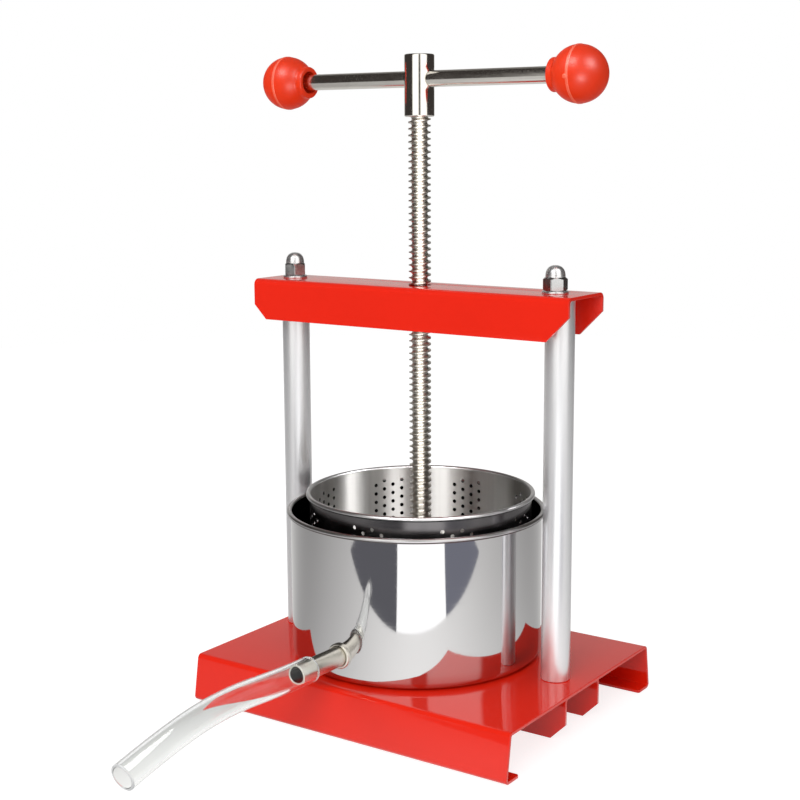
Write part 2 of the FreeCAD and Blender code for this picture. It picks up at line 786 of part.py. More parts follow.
os.makedirs("parts", exist_ok=True)
for part in sub_parts:
    part.Shape.exportStep("parts/%s.step" % part.Label)
    print("%-24s %10.1f mm3" % (part.Label, part.Shape.Volume))
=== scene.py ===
"""Looks of the table-top fruit press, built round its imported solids: the screw's thread, the
basket's holes, folded and painted sheets, turned and polished metal, the clear hose, and a
plain studio."""
import bmesh
import bpy
import math
from mathutils import Matrix, Vector


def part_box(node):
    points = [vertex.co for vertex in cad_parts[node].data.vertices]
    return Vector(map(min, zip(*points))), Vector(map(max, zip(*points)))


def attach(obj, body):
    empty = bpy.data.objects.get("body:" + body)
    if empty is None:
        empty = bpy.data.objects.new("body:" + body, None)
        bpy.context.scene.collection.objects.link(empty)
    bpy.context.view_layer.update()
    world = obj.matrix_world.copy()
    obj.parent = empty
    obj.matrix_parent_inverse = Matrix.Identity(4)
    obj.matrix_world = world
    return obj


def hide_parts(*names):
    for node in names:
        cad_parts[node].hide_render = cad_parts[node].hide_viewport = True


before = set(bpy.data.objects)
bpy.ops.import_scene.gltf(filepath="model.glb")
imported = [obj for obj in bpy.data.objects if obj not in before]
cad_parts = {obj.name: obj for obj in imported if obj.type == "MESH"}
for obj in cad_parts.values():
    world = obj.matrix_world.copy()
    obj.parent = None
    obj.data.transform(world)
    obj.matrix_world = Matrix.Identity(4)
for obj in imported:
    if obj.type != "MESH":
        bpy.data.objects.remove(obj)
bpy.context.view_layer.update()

bl_info = {
    "name": "Fruit Press",
    "version": (1, 0, 0),
    "blender": (4, 5, 0),
    "location": "View3D > Sidebar > Fruit Press",
    "description": "Builds the visible pieces of a table-top fruit press and its studio",
    "category": "Object",
}

# The hose's route as the part's source has it, in metres: distance out from the bucket's
# wall, and height over the spout's axis.
HOSE_ROUTE = (
    (0.0289, 0.0),
    (0.0529, 0.0),
    (0.0989, 0.003),
    (0.1419, -0.002),
    (0.1809, -0.013),
)
SIDES = ("left", "right")


# Sizes read from the solids

def middle(node):
    """Middle of a solid's box."""
    low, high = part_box(node)
    return (low + high) / 2


def extent(node):
    """Length of a solid's box along X, Y and Z."""
    low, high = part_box(node)
    return high - low


def girth(node):
    """Radius and height of an upright turned solid."""
    across, _, tall = extent(node)
    return across / 2, tall


def foot(node):
    """Where an upright turned solid stands: its axis, at its lowest point."""
    centre = middle(node)
    return Vector((centre.x, centre.y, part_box(node)[0].z))


PRESS_AXIS = middle("press_screw")
BUCKET_FOOT = foot("bucket")
BUCKET_BEAD = 0.0016
BASKET_BEAD = 0.0015
VESSEL_GAUGE = 0.0008
BUCKET_RADIUS = extent("bucket").x / 2 - 2 * BUCKET_BEAD + VESSEL_GAUGE
BUCKET_YAW = math.radians(-1.5)
SPOUT_HEIGHT = 0.0176

# More of the pieces' own sizes. Bores, journal, groove, spigot, socket, neck and dome go by
# their radius.
SPOUT_RADIUS = 0.0062
SPOUT_BORE = 0.005
SPOUT_REACH = 0.042
RING_RADIUS = 0.008
RING_HEIGHT = 0.002
COLUMN_BORE = 0.0076
ROD_PITCH = 0.00125
ROD_GROOVE = 0.00065
BAR_BORE = 0.0051
JOURNAL_BORE = 0.0051
PRESS_NUT_BORE = 0.0071
WASHER_BORE = 0.00425
NUT_BORE = 0.0041
NUT_ACROSS = 0.013
NUT_HEIGHT = 0.0065
DOME_HEX = 0.008
DOME_TOP = 0.015
DOME_RADIUS = 0.0060
DOME_DEPTH = 0.0101
JOURNAL = 0.005
JOURNAL_HEIGHT = 0.0135
GROOVE = 0.0035
GROOVE_FOOT = 0.0038
GROOVE_TOP = 0.007
THREAD_LENGTH = 0.2635
SPIGOT = 0.0055
SPIGOT_HEIGHT = 0.012
SOCKET = 0.0056
SOCKET_DEPTH = 0.0121
KNOB_NECK = 0.010
KNOB_REACH = 0.0175
# Steps round the basket, its groups of holes, and the columns in each
BASKET_STEPS = 144
HOLE_GROUPS = 8
GROUP_COLUMNS = 4
# Where a noise's values mostly lie
NOISE_SPAN = (0.3, 0.7)


# Settings

def length(name, description, default, low=0.0, high=1.0):
    """A length that a user may change."""
    return bpy.props.FloatProperty(name=name, description=description, default=default,
                                   min=low, max=high, precision=5, unit="LENGTH")


def colour(name, description, default):
    """A colour that a user may change."""
    return bpy.props.FloatVectorProperty(name=name, description=description,
                                         default=default, subtype="COLOR", size=3,
                                         min=0.0, max=1.0)


def share(name, description, default, high=1.0):
    """A plain number that a user may change."""
    return bpy.props.FloatProperty(name=name, description=description, default=default,
                                   min=0.0, max=high)


class PressSizes(bpy.types.PropertyGroup):
    thread_pitch: length("Thread pitch", "Rise of the screw in one turn", 0.004)
    thread_depth: length("Thread depth", "How deep the screw's groove is cut", 0.0021)
    thread_crest: share("Thread crest", "Share of the pitch left at full diameter", 0.18)
    hole_diameter: length("Hole diameter", "Perforations in the basket", 0.0026)
    hole_rise: length("Hole rise", "From one hole to the next up the wall", 0.00595)
    hole_rows: bpy.props.IntProperty(name="Hole rows", default=15, min=1, max=15,
                                     description="Holes above each other in one column")
    hole_top: length("Highest hole", "Height of the upper row over the table", 0.1271)
    sheet_edge: length("Sheet edge", "Rounding of the painted sheets' cut edges", 0.00035)
    seam: length("Knob seam", "How far the knobs' parting line stands out", 0.00022)
    hose_bore: length("Hose bore", "Inner diameter of the hose", 0.0126)
    hose_diameter: length("Hose diameter", "Outer diameter of the hose", 0.016)
    hose_length: length("Hose length", "Length of the hose along its middle", 0.153)


class PressColours(bpy.types.PropertyGroup):
    paint: colour("Paint", "Gloss coat on base and beam", (0.83, 0.017, 0.004))
    knob: colour("Knobs", "Moulded ball knobs", (0.80, 0.036, 0.004))
    seam: colour("Knob seam", "Scraped parting line of the knobs", (0.90, 0.115, 0.050))
    aluminium: colour("Columns", "Drawn aluminium", (0.88, 0.885, 0.90))
    # The flats' tint is set darker than the domes' as painted shade on the hex
    zinc: colour("Fasteners", "Bright plated nuts", (0.57, 0.58, 0.59))
    dome: colour("Domes", "Domes of the nuts, and washers", (0.78, 0.79, 0.80))
    nickel: colour("Handle", "Polished head and bar", (0.79, 0.765, 0.72))
    screw: colour("Screw", "Rolled screw", (0.66, 0.632, 0.578))
    basket: colour("Basket", "Brushed inside of the basket", (0.48, 0.472, 0.46))
    # The basket outside's dark tint is painted shade between the basket and the bucket
    outside: colour("Basket outside", "Outside of the basket", (0.15, 0.143, 0.147))
    bucket: colour("Bucket", "Polished bucket", (0.61, 0.605, 0.61))
    spout: colour("Spout", "Spout and its ring", (0.74, 0.715, 0.65))
    plate: colour("Plate", "Turned pressing plate", (0.62, 0.61, 0.60))
    hose: colour("Hose", "Clear hose", (0.975, 0.985, 0.98))


class PressStudio(bpy.types.PropertyGroup):
    camera_place: bpy.props.FloatVectorProperty(
        name="Camera place", description="Where the camera stands", size=3,
        default=(0.51337, -0.76763, 0.35879), subtype="TRANSLATION", unit="LENGTH")
    azimuth: bpy.props.FloatProperty(
        name="Azimuth", description="Camera's bearing from the front", subtype="ANGLE",
        default=math.radians(34.69))
    elevation: bpy.props.FloatProperty(
        name="Elevation", description="How far the camera looks down", subtype="ANGLE",
        default=math.radians(10.0))
    roll: bpy.props.FloatProperty(
        name="Roll", description="Camera's tilt round its own line of sight",
        subtype="ANGLE", default=math.radians(-0.3))
    lens: bpy.props.FloatProperty(
        name="Lens", description="Focal length on a 36 mm frame, in millimetres",
        default=66.445, min=10.0, max=300.0)
    soft_level: share("Soft level", "Even light from all round", 0.60, 4.0)
    glint_power: share("Glint lamps", "Power of each lamp that shows on the knobs, in watts",
                       27.0, 60.0)
    band_power: share("Band lamps", "Power of each lamp that shows in the basket, in watts",
                      7.4, 60.0)
    key_power: share("Key lamp", "Power of the lamp at the front right, in watts", 6.0, 100.0)
    fill_power: share("Fill lamp", "Power of the lamp at the left, in watts", 3.0, 100.0)


# Finishes

# Tints of what hardly shows: under the rims and inside the spout, both dark as painted shade,
# and the hose's cut end
UNDER_RIM_SHADE = (0.13, 0.128, 0.13)
SPOUT_BORE_SHADE = (0.028, 0.025, 0.026)
CUT_END = (0.80, 0.81, 0.81)


class Graph:
    """The nodes of a material or of the world, and short ways to add to them."""

    def __init__(self, owner, empty=True):
        owner.use_nodes = True
        self.owner = owner
        self.nodes = owner.node_tree.nodes
        self.links = owner.node_tree.links
        if empty:
            self.nodes.clear()

    def add(self, kind, feeds=(), **settings):
        """A node, its settings, and what feeds its inputs: a number or another output."""
        node = self.nodes.new("ShaderNode" + kind)
        for key, value in settings.items():
            setattr(node, key, value)
        for key, value in dict(feeds).items():
            if isinstance(value, bpy.types.NodeSocket):
                self.links.new(value, node.inputs[key])
            else:
                node.inputs[key].default_value = value
        return node

    def sum(self, operation, first, second=0.0):
        return self.add("Math", {0: first, 1: second}, operation=operation).outputs[0]

    def vector(self, operation, first, second=(0.0, 0.0, 0.0), result="Vector"):
        node = self.add("VectorMath", {0: first, 1: second}, operation=operation)
        return node.outputs[result]

    def stretch(self, where, *scale):
        return self.add("Mapping", {"Vector": where, "Scale": scale}).outputs[0]

    def fade(self, value, low, high, to_low=0.0, to_high=1.0, **settings):
        """A value brought from one range to another."""
        feeds = {"Value": value, "From Min": low, "From Max": high, "To Min": to_low,
                 "To Max": to_high}
        return self.add("MapRange", feeds, **settings).outputs[0]


class Finish(Graph):
    """A finish being mixed: its shader, and short ways to vary it with textures."""

    def __init__(self, name, tint, sockets):
        super().__init__(bpy.data.materials.new(name), empty=False)
        self.shader = self.nodes["Principled BSDF"]
        self.tint = tuple(tint)
        self.normal = None
        self.shader.inputs["Base Color"].default_value = (*self.tint, 1.0)
        for key, value in sockets.items():
            self.shader.inputs[key].default_value = value

    def noise(self, where, detail, rough=0.55):
        feeds = {"Vector": where, "Scale": 1.0, "Detail": detail, "Roughness": rough}
        return self.add("TexNoise", feeds).outputs[0]

    def own(self):
        """The piece's own coordinates."""
        return self.add("TexCoord").outputs["Object"]

    def cloud(self, size, detail=3.0):
        """A texture that is alike in all directions."""
        return self.noise(self.stretch(self.own(), size, size, size), detail)

    def marks(self, around, along, detail=3.0, rough=0.55):
        """Marks that run round the piece's own axis and along it, with no seam."""
        where = self.own()
        unit = self.vector("NORMALIZE", self.stretch(where, 1.0, 1.0, 0.0))
        ring = self.stretch(unit, around, around, around)
        rise = self.stretch(where, 0.0, 0.0, along)
        return self.noise(self.vector("ADD", ring, rise), detail, rough)

    def rings(self, outward, along, detail=2.0, rough=0.55):
        """Marks that stay the same all the way round, as those from a lathe do."""
        where = self.own()
        radius = self.vector("LENGTH", self.stretch(where, 1.0, 1.0, 0.0), result="Value")
        height = self.add("SeparateXYZ", {0: where}).outputs["Z"]
        at = self.add("CombineXYZ", {0: self.sum("MULTIPLY", radius, outward),
                                     1: self.sum("MULTIPLY", height, along)})
        return self.noise(at.outputs[0], detail, rough)

    def tone(self, value, spread):
        """Vary the base colour a little by a value."""
        ramp = self.add("ValToRGB", {"Fac": self.fade(value, *NOISE_SPAN)})
        for stop, factor in zip(ramp.color_ramp.elements, (1.0 - spread, 1.0 + spread)):
            stop.color = (*(min(1.0, c * factor) for c in self.tint), 1.0)
        self.links.new(ramp.outputs[0], self.shader.inputs["Base Color"])

    def gloss(self, value, smooth, rough):
        """Vary the roughness by a value."""
        self.links.new(self.fade(value, *NOISE_SPAN, smooth, rough),
                       self.shader.inputs["Roughness"])

    def relief(self, value, depth, coat=False):
        """Raise the surface by a value, over any relief it has already."""
        feeds = {"Height": value, "Distance": depth, "Strength": 1.0}
        if self.normal is not None:
            feeds["Normal"] = self.normal
        self.normal = self.add("Bump", feeds).outputs[0]
        self.links.new(self.normal, self.shader.inputs["Normal"])
        if coat:
            self.links.new(self.normal, self.shader.inputs["Coat Normal"])


def metal(name, tint, brushed=0.0):
    """Bare metal, brushed round its own axis as strongly as given."""
    sockets = {"Metallic": 1.0}
    if brushed:
        sockets.update({"Anisotropic": brushed, "Anisotropic Rotation": 0.25})
    return Finish(name, tint, sockets)


def gloss_paint(tint):
    """Stoved gloss coat with a faint orange peel."""
    mix = Finish("gloss_paint", tint, {
        "Roughness": 0.5, "Specular IOR Level": 0.1, "Coat Weight": 1.0,
        "Coat Roughness": 0.05, "Coat IOR": 1.4})
    mix.tone(mix.cloud(14.0, 5.0), 0.025)
    mix.relief(mix.cloud(320.0, 1.0), 0.000002, coat=True)
    return mix.owner


def drawn_aluminium(tint):
    """Satin tube with fine marks along its length."""
    mix = Finish("drawn_aluminium", tint, {
        "Metallic": 0.8, "Anisotropic": 0.3, "Specular IOR Level": 0.3})
    marks = mix.marks(46.0, 14.0, 5.0, 0.65)
    mix.tone(marks, 0.03)
    mix.gloss(marks, 0.29, 0.36)
    mix.relief(mix.marks(120.0, 20.0), 0.000002)
    return mix.owner


def bright_zinc(tint):
    """Bright plating with the slight unevenness of a barrel-plated nut, tinted darker than the
    domes as painted shade on the flats.
    """
    mix = metal("bright_zinc", tint)
    cloud = mix.cloud(240.0)
    mix.tone(cloud, 0.05)
    mix.gloss(cloud, 0.17, 0.26)
    mix.relief(mix.rings(1500.0, 2600.0), 0.0000015)
    return mix.owner


def satin_zinc(tint):
    """The domes' plating, duller than on the flats and paler in tint than they, whose darker
    tint is painted shade.
    """
    mix = Finish("satin_zinc", tint, {"Metallic": 0.9})
    cloud = mix.cloud(240.0)
    mix.tone(cloud, 0.05)
    mix.gloss(cloud, 0.26, 0.34)
    return mix.owner


def rolled_steel(tint):
    """Rolled screw: bright crests, with fine marks that follow the groove."""
    mix = metal("rolled_steel", tint, 0.9)
    mix.tone(mix.cloud(150.0), 0.06)
    mix.gloss(mix.marks(2.4, 5200.0, 4.0, 0.7), 0.31, 0.39)
    return mix.owner


def polished_nickel(name, tint, smooth, rough):
    """Polished plating over a turned surface, a little wavy, and rubbed duller by use."""
    mix = metal(name, tint)
    waves = mix.marks(1.6, 95.0)
    mix.tone(waves, 0.05)
    mix.gloss(waves, smooth, rough)
    mix.relief(mix.marks(2.2, 70.0, 2.0), 0.00001)
    mix.relief(mix.rings(1200.0, 3800.0), 0.0000008)
    return mix.owner


def brushed_basket(tint):
    """Inside of the basket, brushed round its wall, with lighter and darker bands of tone at
    random round it.
    """
    mix = metal("brushed_basket", tint, 1.0)
    mix.tone(mix.marks(6.0, 0.6), 0.16)
    mix.gloss(mix.marks(2.6, 1400.0, 5.0, 0.7), 0.39, 0.46)
    return mix.owner


def plain_basket(tint):
    """Outside of the basket, less worn by the brush, its tint far darker than the inside's as
    painted shade between basket and bucket.
    """
    mix = metal("plain_basket", tint, 0.4)
    mix.tone(mix.marks(5.0, 0.6, 2.0), 0.08)
    mix.gloss(mix.marks(2.6, 1400.0, 5.0, 0.7), 0.18, 0.25)
    return mix.owner


def rolled_bead(tint):
    """Rolled rims, duller than the polished wall."""
    mix = metal("rolled_bead", tint)
    mix.tone(mix.marks(9.0, 60.0, 2.0), 0.05)
    mix.gloss(mix.marks(40.0, 1800.0, 4.0), 0.28, 0.36)
    return mix.owner


def dull_steel_painted_shade(name, tint):
    """Unpolished steel inside the spout and under the rims, in dark tints that are painted
    shade there.
    """
    mix = metal(name, tint)
    marks = mix.marks(2.0, 900.0, 4.0)
    mix.tone(marks, 0.1)
    mix.gloss(marks, 0.45, 0.6)
    return mix.owner


def rim_finishes(tint):
    """Finishes of a vessel's bead and of its underside, the underside darkened as painted
    shade.
    """
    return rolled_bead(tint), dull_steel_painted_shade("under_rim", UNDER_RIM_SHADE)


def mirror_steel(tint):
    """Drawn and polished sheet, with faint waves round its wall."""
    mix = metal("mirror_steel", tint)
    mix.tone(mix.marks(1.5, 12.0, 2.0), 0.02)
    mix.gloss(mix.marks(3.0, 900.0, 4.0), 0.035, 0.075)
    mix.relief(mix.marks(2.0, 16.0, 1.0), 0.00004)
    return mix.owner


def spout_steel(tint):
    """Tube polished round, with a warmer tint than the bucket."""
    mix = metal("spout_steel", tint, 0.5)
    marks = mix.marks(2.0, 1500.0, 4.0)
    mix.tone(marks, 0.04)
    mix.gloss(marks, 0.27, 0.35)
    mix.relief(marks, 0.000001)
    return mix.owner


def turned_steel(tint):
    """Lathe-faced disc and boss, with the tool's rings."""
    mix = metal("turned_steel", tint, 0.5)
    rings = mix.rings(2300.0, 2300.0, 3.0, 0.6)
    mix.tone(mix.cloud(70.0), 0.06)
    mix.gloss(rings, 0.20, 0.34)
    mix.relief(rings, 0.000004)
    return mix.owner


def frosted_vinyl(tint):
    """The hose's cut end, milky from the knife."""
    mix = Finish("frosted_vinyl", tint, {
        "Transmission Weight": 0.25, "IOR": 1.2, "Roughness": 0.6})
    cut = mix.cloud(900.0)
    mix.tone(cut, 0.04)
    mix.relief(cut, 0.00002)
    return mix.owner


def moulded_plastic(tint):
    """Ball knob as it comes from the mould."""
    mix = Finish("moulded_plastic", tint, {
        "Subsurface Weight": 0.06, "Subsurface Radius": (1.0, 0.25, 0.1),
        "Subsurface Scale": 0.0012, "IOR": 1.30, "Specular IOR Level": 0.32})
    cloud = mix.cloud(120.0, 4.0)
    mix.tone(mix.cloud(45.0, 2.0), 0.05)
    mix.gloss(cloud, 0.36, 0.43)
    mix.relief(cloud, 0.00001)
    return mix.owner


def scraped_plastic(tint):
    """The knobs' parting line and gate mark, scraped after moulding."""
    mix = Finish("scraped_plastic", tint, {"IOR": 1.4})
    scratches = mix.cloud(700.0)
    mix.tone(scratches, 0.08)
    mix.gloss(scratches, 0.4, 0.6)
    return mix.owner


def clear_vinyl(tint):
    """Clear hose, very slightly cloudy."""
    mix = Finish("clear_vinyl", tint, {"Transmission Weight": 0.99, "IOR": 1.34})
    mix.tone(mix.cloud(30.0, 2.0), 0.015)
    mix.gloss(mix.cloud(60.0, 2.0), 0.01, 0.03)
    return mix.owner


# Shapes

def rounded(corners, steps=4):
    """An outline's points from (radius, height, rounding) at each corner."""
    points = []
    for k, (x, y, radius) in enumerate(corners):
        here = Vector((x, y))
        if radius <= 0.0:
            points.append(here)
            continue
        before = Vector(corners[k - 1][:2])
        after = Vector(corners[(k + 1) % len(corners)][:2])
        back = (before - here).normalized()
        ahead = (after - here).normalized()
        half = back.angle(ahead) / 2
        centre = here + (back + ahead).normalized() * (radius / math.sin(half))
        start = here + back * (radius / math.tan(half)) - centre
        end = here + ahead * (radius / math.tan(half)) - centre
        for step in range(steps + 1):
            points.append(centre + start.lerp(end, step / steps).normalized() * radius)
    return points


def arc(centre, radius, start, end, steps):
    """Points of an arc from one angle to another, in degrees."""
    angles = [math.radians(start + (end - start) * k / steps) for k in range(steps + 1)]
    return [Vector((centre[0] + radius * math.cos(a), centre[1] + radius * math.sin(a)))
            for a in angles]


def bulge(radius, height, base, steps, power=2.4):
    """Points up a full dome, blunter than an ellipse, from its rim to its top."""
    angles = [math.pi / 2 * k / steps for k in range(1, steps)]
    side = [Vector((radius * math.cos(a) ** (2 / power),
                    base + height * math.sin(a) ** (2 / power))) for a in angles]
    return side + [Vector((0.0, base + height))]


def hole_loop(half_rows, half_columns):
    """Grid steps round a hole, anticlockwise from its right-hand side."""
    right = [(row, half_columns) for row in range(0, half_rows)]
    top = [(half_rows, column) for column in range(half_columns, -half_columns, -1)]
    left = [(row, -half_columns) for row in range(half_rows, -half_rows, -1)]
    bottom = [(-half_rows, column) for column in range(-half_columns, half_columns)]
    return right + top + left + bottom + [(row, half_columns)
                                          for row in range(-half_rows, 0)]


def turn(bm, outline, segments=96, closed=False, start=0.0, holes=()):
    """Turn an outline of (radius, height) round Z. The outline may be a function of the
    angle. Each hole is (row, column, half rows, half columns, radius, points between), and
    its rim comes back as a list of vertices."""
    angles = [start + 2 * math.pi * k / segments for k in range(segments)]
    shape = outline if callable(outline) else lambda angle: outline
    rows = len(shape(angles[0]))
    covered = set()
    inside = set()
    for row, column, half_rows, half_columns, _, _ in holes:
        for r in range(row - half_rows, row + half_rows):
            for c in range(column - half_columns, column + half_columns):
                covered.add((r, c % segments))
        for r in range(row - half_rows + 1, row + half_rows):
            for c in range(column - half_columns + 1, column + half_columns):
                inside.add((r, c % segments))
    grid = []
    for column, angle in enumerate(angles):
        line = []
        for row, (radius, height) in enumerate(shape(angle)):
            if radius < 1e-7 and column:
                line.append(grid[0][row])
            elif (row, column) in inside:
                line.append(None)
            else:
                line.append(bm.verts.new((radius * math.cos(angle),
                                          radius * math.sin(angle), height)))
        grid.append(line)
    for row in range(rows if closed else rows - 1):
        above = (row + 1) % rows
        for column in range(segments):
            if (row, column) in covered:
                continue
            beside = grid[(column + 1) % segments]
            corners = [grid[column][row], beside[row], beside[above], grid[column][above]]
            unique = list(dict.fromkeys(corners))
            if len(unique) > 2:
                bm.faces.new(unique)
    return [pierce(bm, grid, shape(0.0), angles, hole) for hole in holes]


def pierce(bm, grid, outline, angles, hole):
    """Join a round hole's rim to the grid left open round it."""
    row, column, half_rows, half_columns, radius, between = hole
    wall, height = outline[row]
    step = angles[1] - angles[0]
    loop = hole_loop(half_rows, half_columns)
    outer = [grid[(column + c) % len(angles)][row + r] for r, c in loop]
    bearings = [math.atan2(outline[row + r][1] - height, c * step * wall) for r, c in loop]
    rim = []
    for k, bearing in enumerate(bearings):
        following = bearings[(k + 1) % len(bearings)]
        gap = (following - bearing) % (2 * math.pi)
        for j in range(between + 1):
            turned = bearing + gap * j / (between + 1)
            angle = angles[column % len(angles)] + math.asin(radius * math.cos(turned) / wall)
            rim.append(bm.verts.new((wall * math.cos(angle), wall * math.sin(angle),
                                     height + radius * math.sin(turned))))
    count = len(rim)
    for k in range(len(outer)):
        inner = [rim[(k * (between + 1) + j) % count] for j in range(between + 2)]
        bm.faces.new([outer[k], outer[(k + 1) % len(outer)], *reversed(inner)])
    return rim


def flats(angle, across):
    """Distance from a nut's axis to its flats at an angle."""
    step = math.radians(60)
    return across / 2 / math.cos(angle % step - step / 2)


def finish_mesh(bm, name, finish, sharp=35.0, second=None):
    """A mesh with smooth turned faces and crisp corners."""
    mesh = bpy.data.meshes.new(name)
    bm.to_mesh(mesh)
    bm.free()
    mesh.materials.append(finish)
    if second is not None:
        mesh.materials.append(second)
    mesh.shade_smooth()
    mesh.set_sharp_from_angle(angle=math.radians(sharp))
    return mesh


def link(name, mesh, at=None):
    """A new object from a mesh, in its place."""
    item = bpy.data.objects.new(name, mesh)
    bpy.context.scene.collection.objects.link(item)
    if at is not None:
        item.matrix_world = at
    return item


def fit(item, body, slot, *nodes):
    """Hang a piece on its body in place of its plain solids."""
    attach(item, body)
    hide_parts(*nodes)
    return item


def standing(node):
    """Place a piece upright where its solid stands."""
    return Matrix.Translation(foot(node))


def along_x(point, sense=1):
    """Place a piece whose own Z axis lies along X."""
    return Matrix.Translation(point) @ Matrix.Rotation(math.radians(90 * sense), 4, "Y")


def towards_spout(point):
    """Place a piece whose own Z axis points out along the spout."""
    return (Matrix.Translation(point) @ Matrix.Rotation(BUCKET_YAW, 4, "Z")
            @ Matrix.Rotation(math.radians(90), 4, "X"))


def lathe(piece, node, body, slot, finish, outline, segments=128, closed=True, at=None,
          sharp=35.0, second=None, work=None):
    """A piece that is only turned, with any work done on its mesh after that. It stands
    where its solid does, unless another place is given."""
    bm = bmesh.new()
    turn(bm, outline, segments, closed)
    if work is not None:
        work(bm)
    place = standing(node) if at is None else at
    item = link(piece, finish_mesh(bm, piece, finish, sharp, second), place)
    return fit(item, body, slot, node)


def thicken(bm, name, finish, gauge, inside=None):
    """Give an open sheet its gauge inwards, and return it as a mesh to go on with."""
    item = link(name + "_sheet", finish_mesh(bm, name + "_sheet", finish, second=inside))
    solid = item.modifiers.new("gauge", "SOLIDIFY")
    if inside is not None:
        solid.material_offset = 1
    solid.thickness = gauge
    solid.offset = -1.0
    solid.use_even_offset = True
    graph = bpy.context.evaluated_depsgraph_get()
    thick = bmesh.new()
    thick.from_object(item, graph)
    bpy.data.objects.remove(item)
    return thick


# Folded sheets

def folded_sheet(node, finish, edge):
    """A painted sheet with its cut edges rounded over, in place of its plain solid."""
    bm = bmesh.new()
    bm.from_mesh(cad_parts[node].data)
    bmesh.ops.remove_doubles(bm, verts=bm.verts, dist=2e-6)
    bmesh.ops.dissolve_limit(bm, angle_limit=math.radians(0.4), verts=bm.verts,
                             edges=bm.edges)
    item = link(node + "_painted", finish_mesh(bm, node + "_painted", finish, 60.0))
    bevel = item.modifiers.new("edge", "BEVEL")
    bevel.width = edge
    bevel.segments = 3
    bevel.limit_method = "ANGLE"
    bevel.angle_limit = math.radians(50)
    bevel.harden_normals = True
    fit(item, "frame", "red_paint", node)


# Fasteners and columns

def washer_outline(node, bore, foot_edge, top_edge):
    """Side of a flat washer with broken edges."""
    radius, tall = girth(node)
    return rounded([(bore, 0.0, 0.0001), (radius, 0.0, foot_edge), (radius, tall, top_edge),
                    (bore, tall, 0.0001)])


def nut_corner(angle):
    """Of a nut at an angle: how far out it reaches, where its chamfer starts, and how far
    the chamfer drops."""
    reach = flats(angle, NUT_ACROSS)
    flat = NUT_ACROSS / 2 - 0.0002
    return reach, flat, (reach - flat) * math.tan(math.radians(30))


def nut_outline(angle):
    """Side of a plain nut at an angle, with its corners chamfered at both ends."""
    reach, flat, drop = nut_corner(angle)
    return [(NUT_BORE, 0.0), (flat, 0.0), (reach, drop), (reach, NUT_HEIGHT - drop),
            (flat, NUT_HEIGHT), (NUT_BORE, NUT_HEIGHT)]


def dome_outline(angle):
    """Side of a dome nut at an angle, from inside its bore out, up and over the dome."""
    reach, flat, drop = nut_corner(angle)
    shoulder = (reach - DOME_RADIUS) * math.tan(math.radians(40))
    rim = DOME_HEX + 0.00012
    side = [(0.0, DOME_DEPTH), (NUT_BORE, DOME_DEPTH), (NUT_BORE, 0.0), (flat, 0.0),
            (reach, drop), (reach, DOME_HEX - shoulder), (DOME_RADIUS + 0.0001, DOME_HEX),
            (DOME_RADIUS, rim)]
    return side + bulge(DOME_RADIUS, DOME_TOP - rim, rim, 16)


def mark_dome(bm):
    """The dome's faces take the nut's second finish, paler than the flats' painted shade."""
    for face in bm.faces:
        face.material_index = int(min(v.co.z for v in face.verts) > DOME_HEX + 0.0001
                                  and face.normal.z > -0.1)


def make_fasteners(side, finish, domed):
    """Nuts and washers at both ends of one tie rod."""
    clocked = math.radians({"left": 7.3, "right": 38.3}[side])
    for place in ("top", "base"):
        node = "%s_%s_washer" % (side, place)
        lathe(node + "_plated", node, "frame", "zinc", domed,
              washer_outline(node, WASHER_BORE, 0.0002, 0.0007))
    node = side + "_dome_nut"
    nut = lathe(node + "_plated", node, "frame", "zinc", finish,
                lambda angle: dome_outline(angle - clocked), 144, closed=False, sharp=25.0,
                second=domed, work=mark_dome)
    node = side + "_base_nut"
    lathe(node + "_plated", node, "frame", "zinc", finish, nut_outline, 144, sharp=25.0)
    return nut


def ribbon(bm, low, high, outer, depth, pitch, crest, segments, edge=0.0):
    """A right-hand thread as one strip wound up the rod, ending flat at both ends."""
    half = (1.0 - crest) / 2
    marks = [0.0] + [crest / 2 + half * (1 - math.cos(math.pi * k / 12))
                     for k in range(13)]
    across = len(marks)
    made = {}

    def vertex(turned, mark):
        turned += mark // across * segments
        mark %= across
        if (turned, mark) not in made:
            angle = 2 * math.pi * turned / segments
            height = low + pitch * (turned / segments - 1.0 + marks[mark])
            height = min(max(height, low), high)
            off = (marks[mark] - 0.5) / half
            radius = outer
            if mark:
                radius -= depth * math.sqrt(max(0.0, 1.0 - off * off))
            radius = min(radius, outer - edge + (height - low))
            made[turned, mark] = bm.verts.new((radius * math.cos(angle),
                                               radius * math.sin(angle), height))
        return made[turned, mark]

    for turned in range(int((1.0 + (high - low) / pitch) * segments) + 1):
        for mark in range(across):
            corners = (vertex(turned, mark), vertex(turned + 1, mark),
                       vertex(turned + 1, mark + 1), vertex(turned, mark + 1))
            heights = [corner.co.z for corner in corners]
            if max(heights) - low > 1e-7 and high - min(heights) > 1e-7:
                bm.faces.new(corners)
    loose = [v for v in bm.verts if not v.link_faces]
    bmesh.ops.delete(bm, geom=loose, context="VERTS")


def make_rod(side, finish):
    """Tie rod inside a column, threaded where its nuts sit."""
    node = side + "_tie_rod"
    radius, tall = girth(node)
    core = radius - 0.0006
    low_end = 0.016
    high_end = tall - 0.014
    bm = bmesh.new()
    for start, end, edge in ((0.0, low_end, 0.0005), (high_end, tall, 0.0)):
        ribbon(bm, start, end, radius, ROD_GROOVE, ROD_PITCH, 0.2, 32, edge)
    turn(bm, [(0.0, 0.0), (core, 0.0), (core, low_end), (radius, low_end),
              (radius, high_end), (core, high_end), (core, tall), (0.0, tall)], 48)
    item = link(node + "_threaded", finish_mesh(bm, node, finish), standing(node))
    fit(item, "frame", "zinc", node)


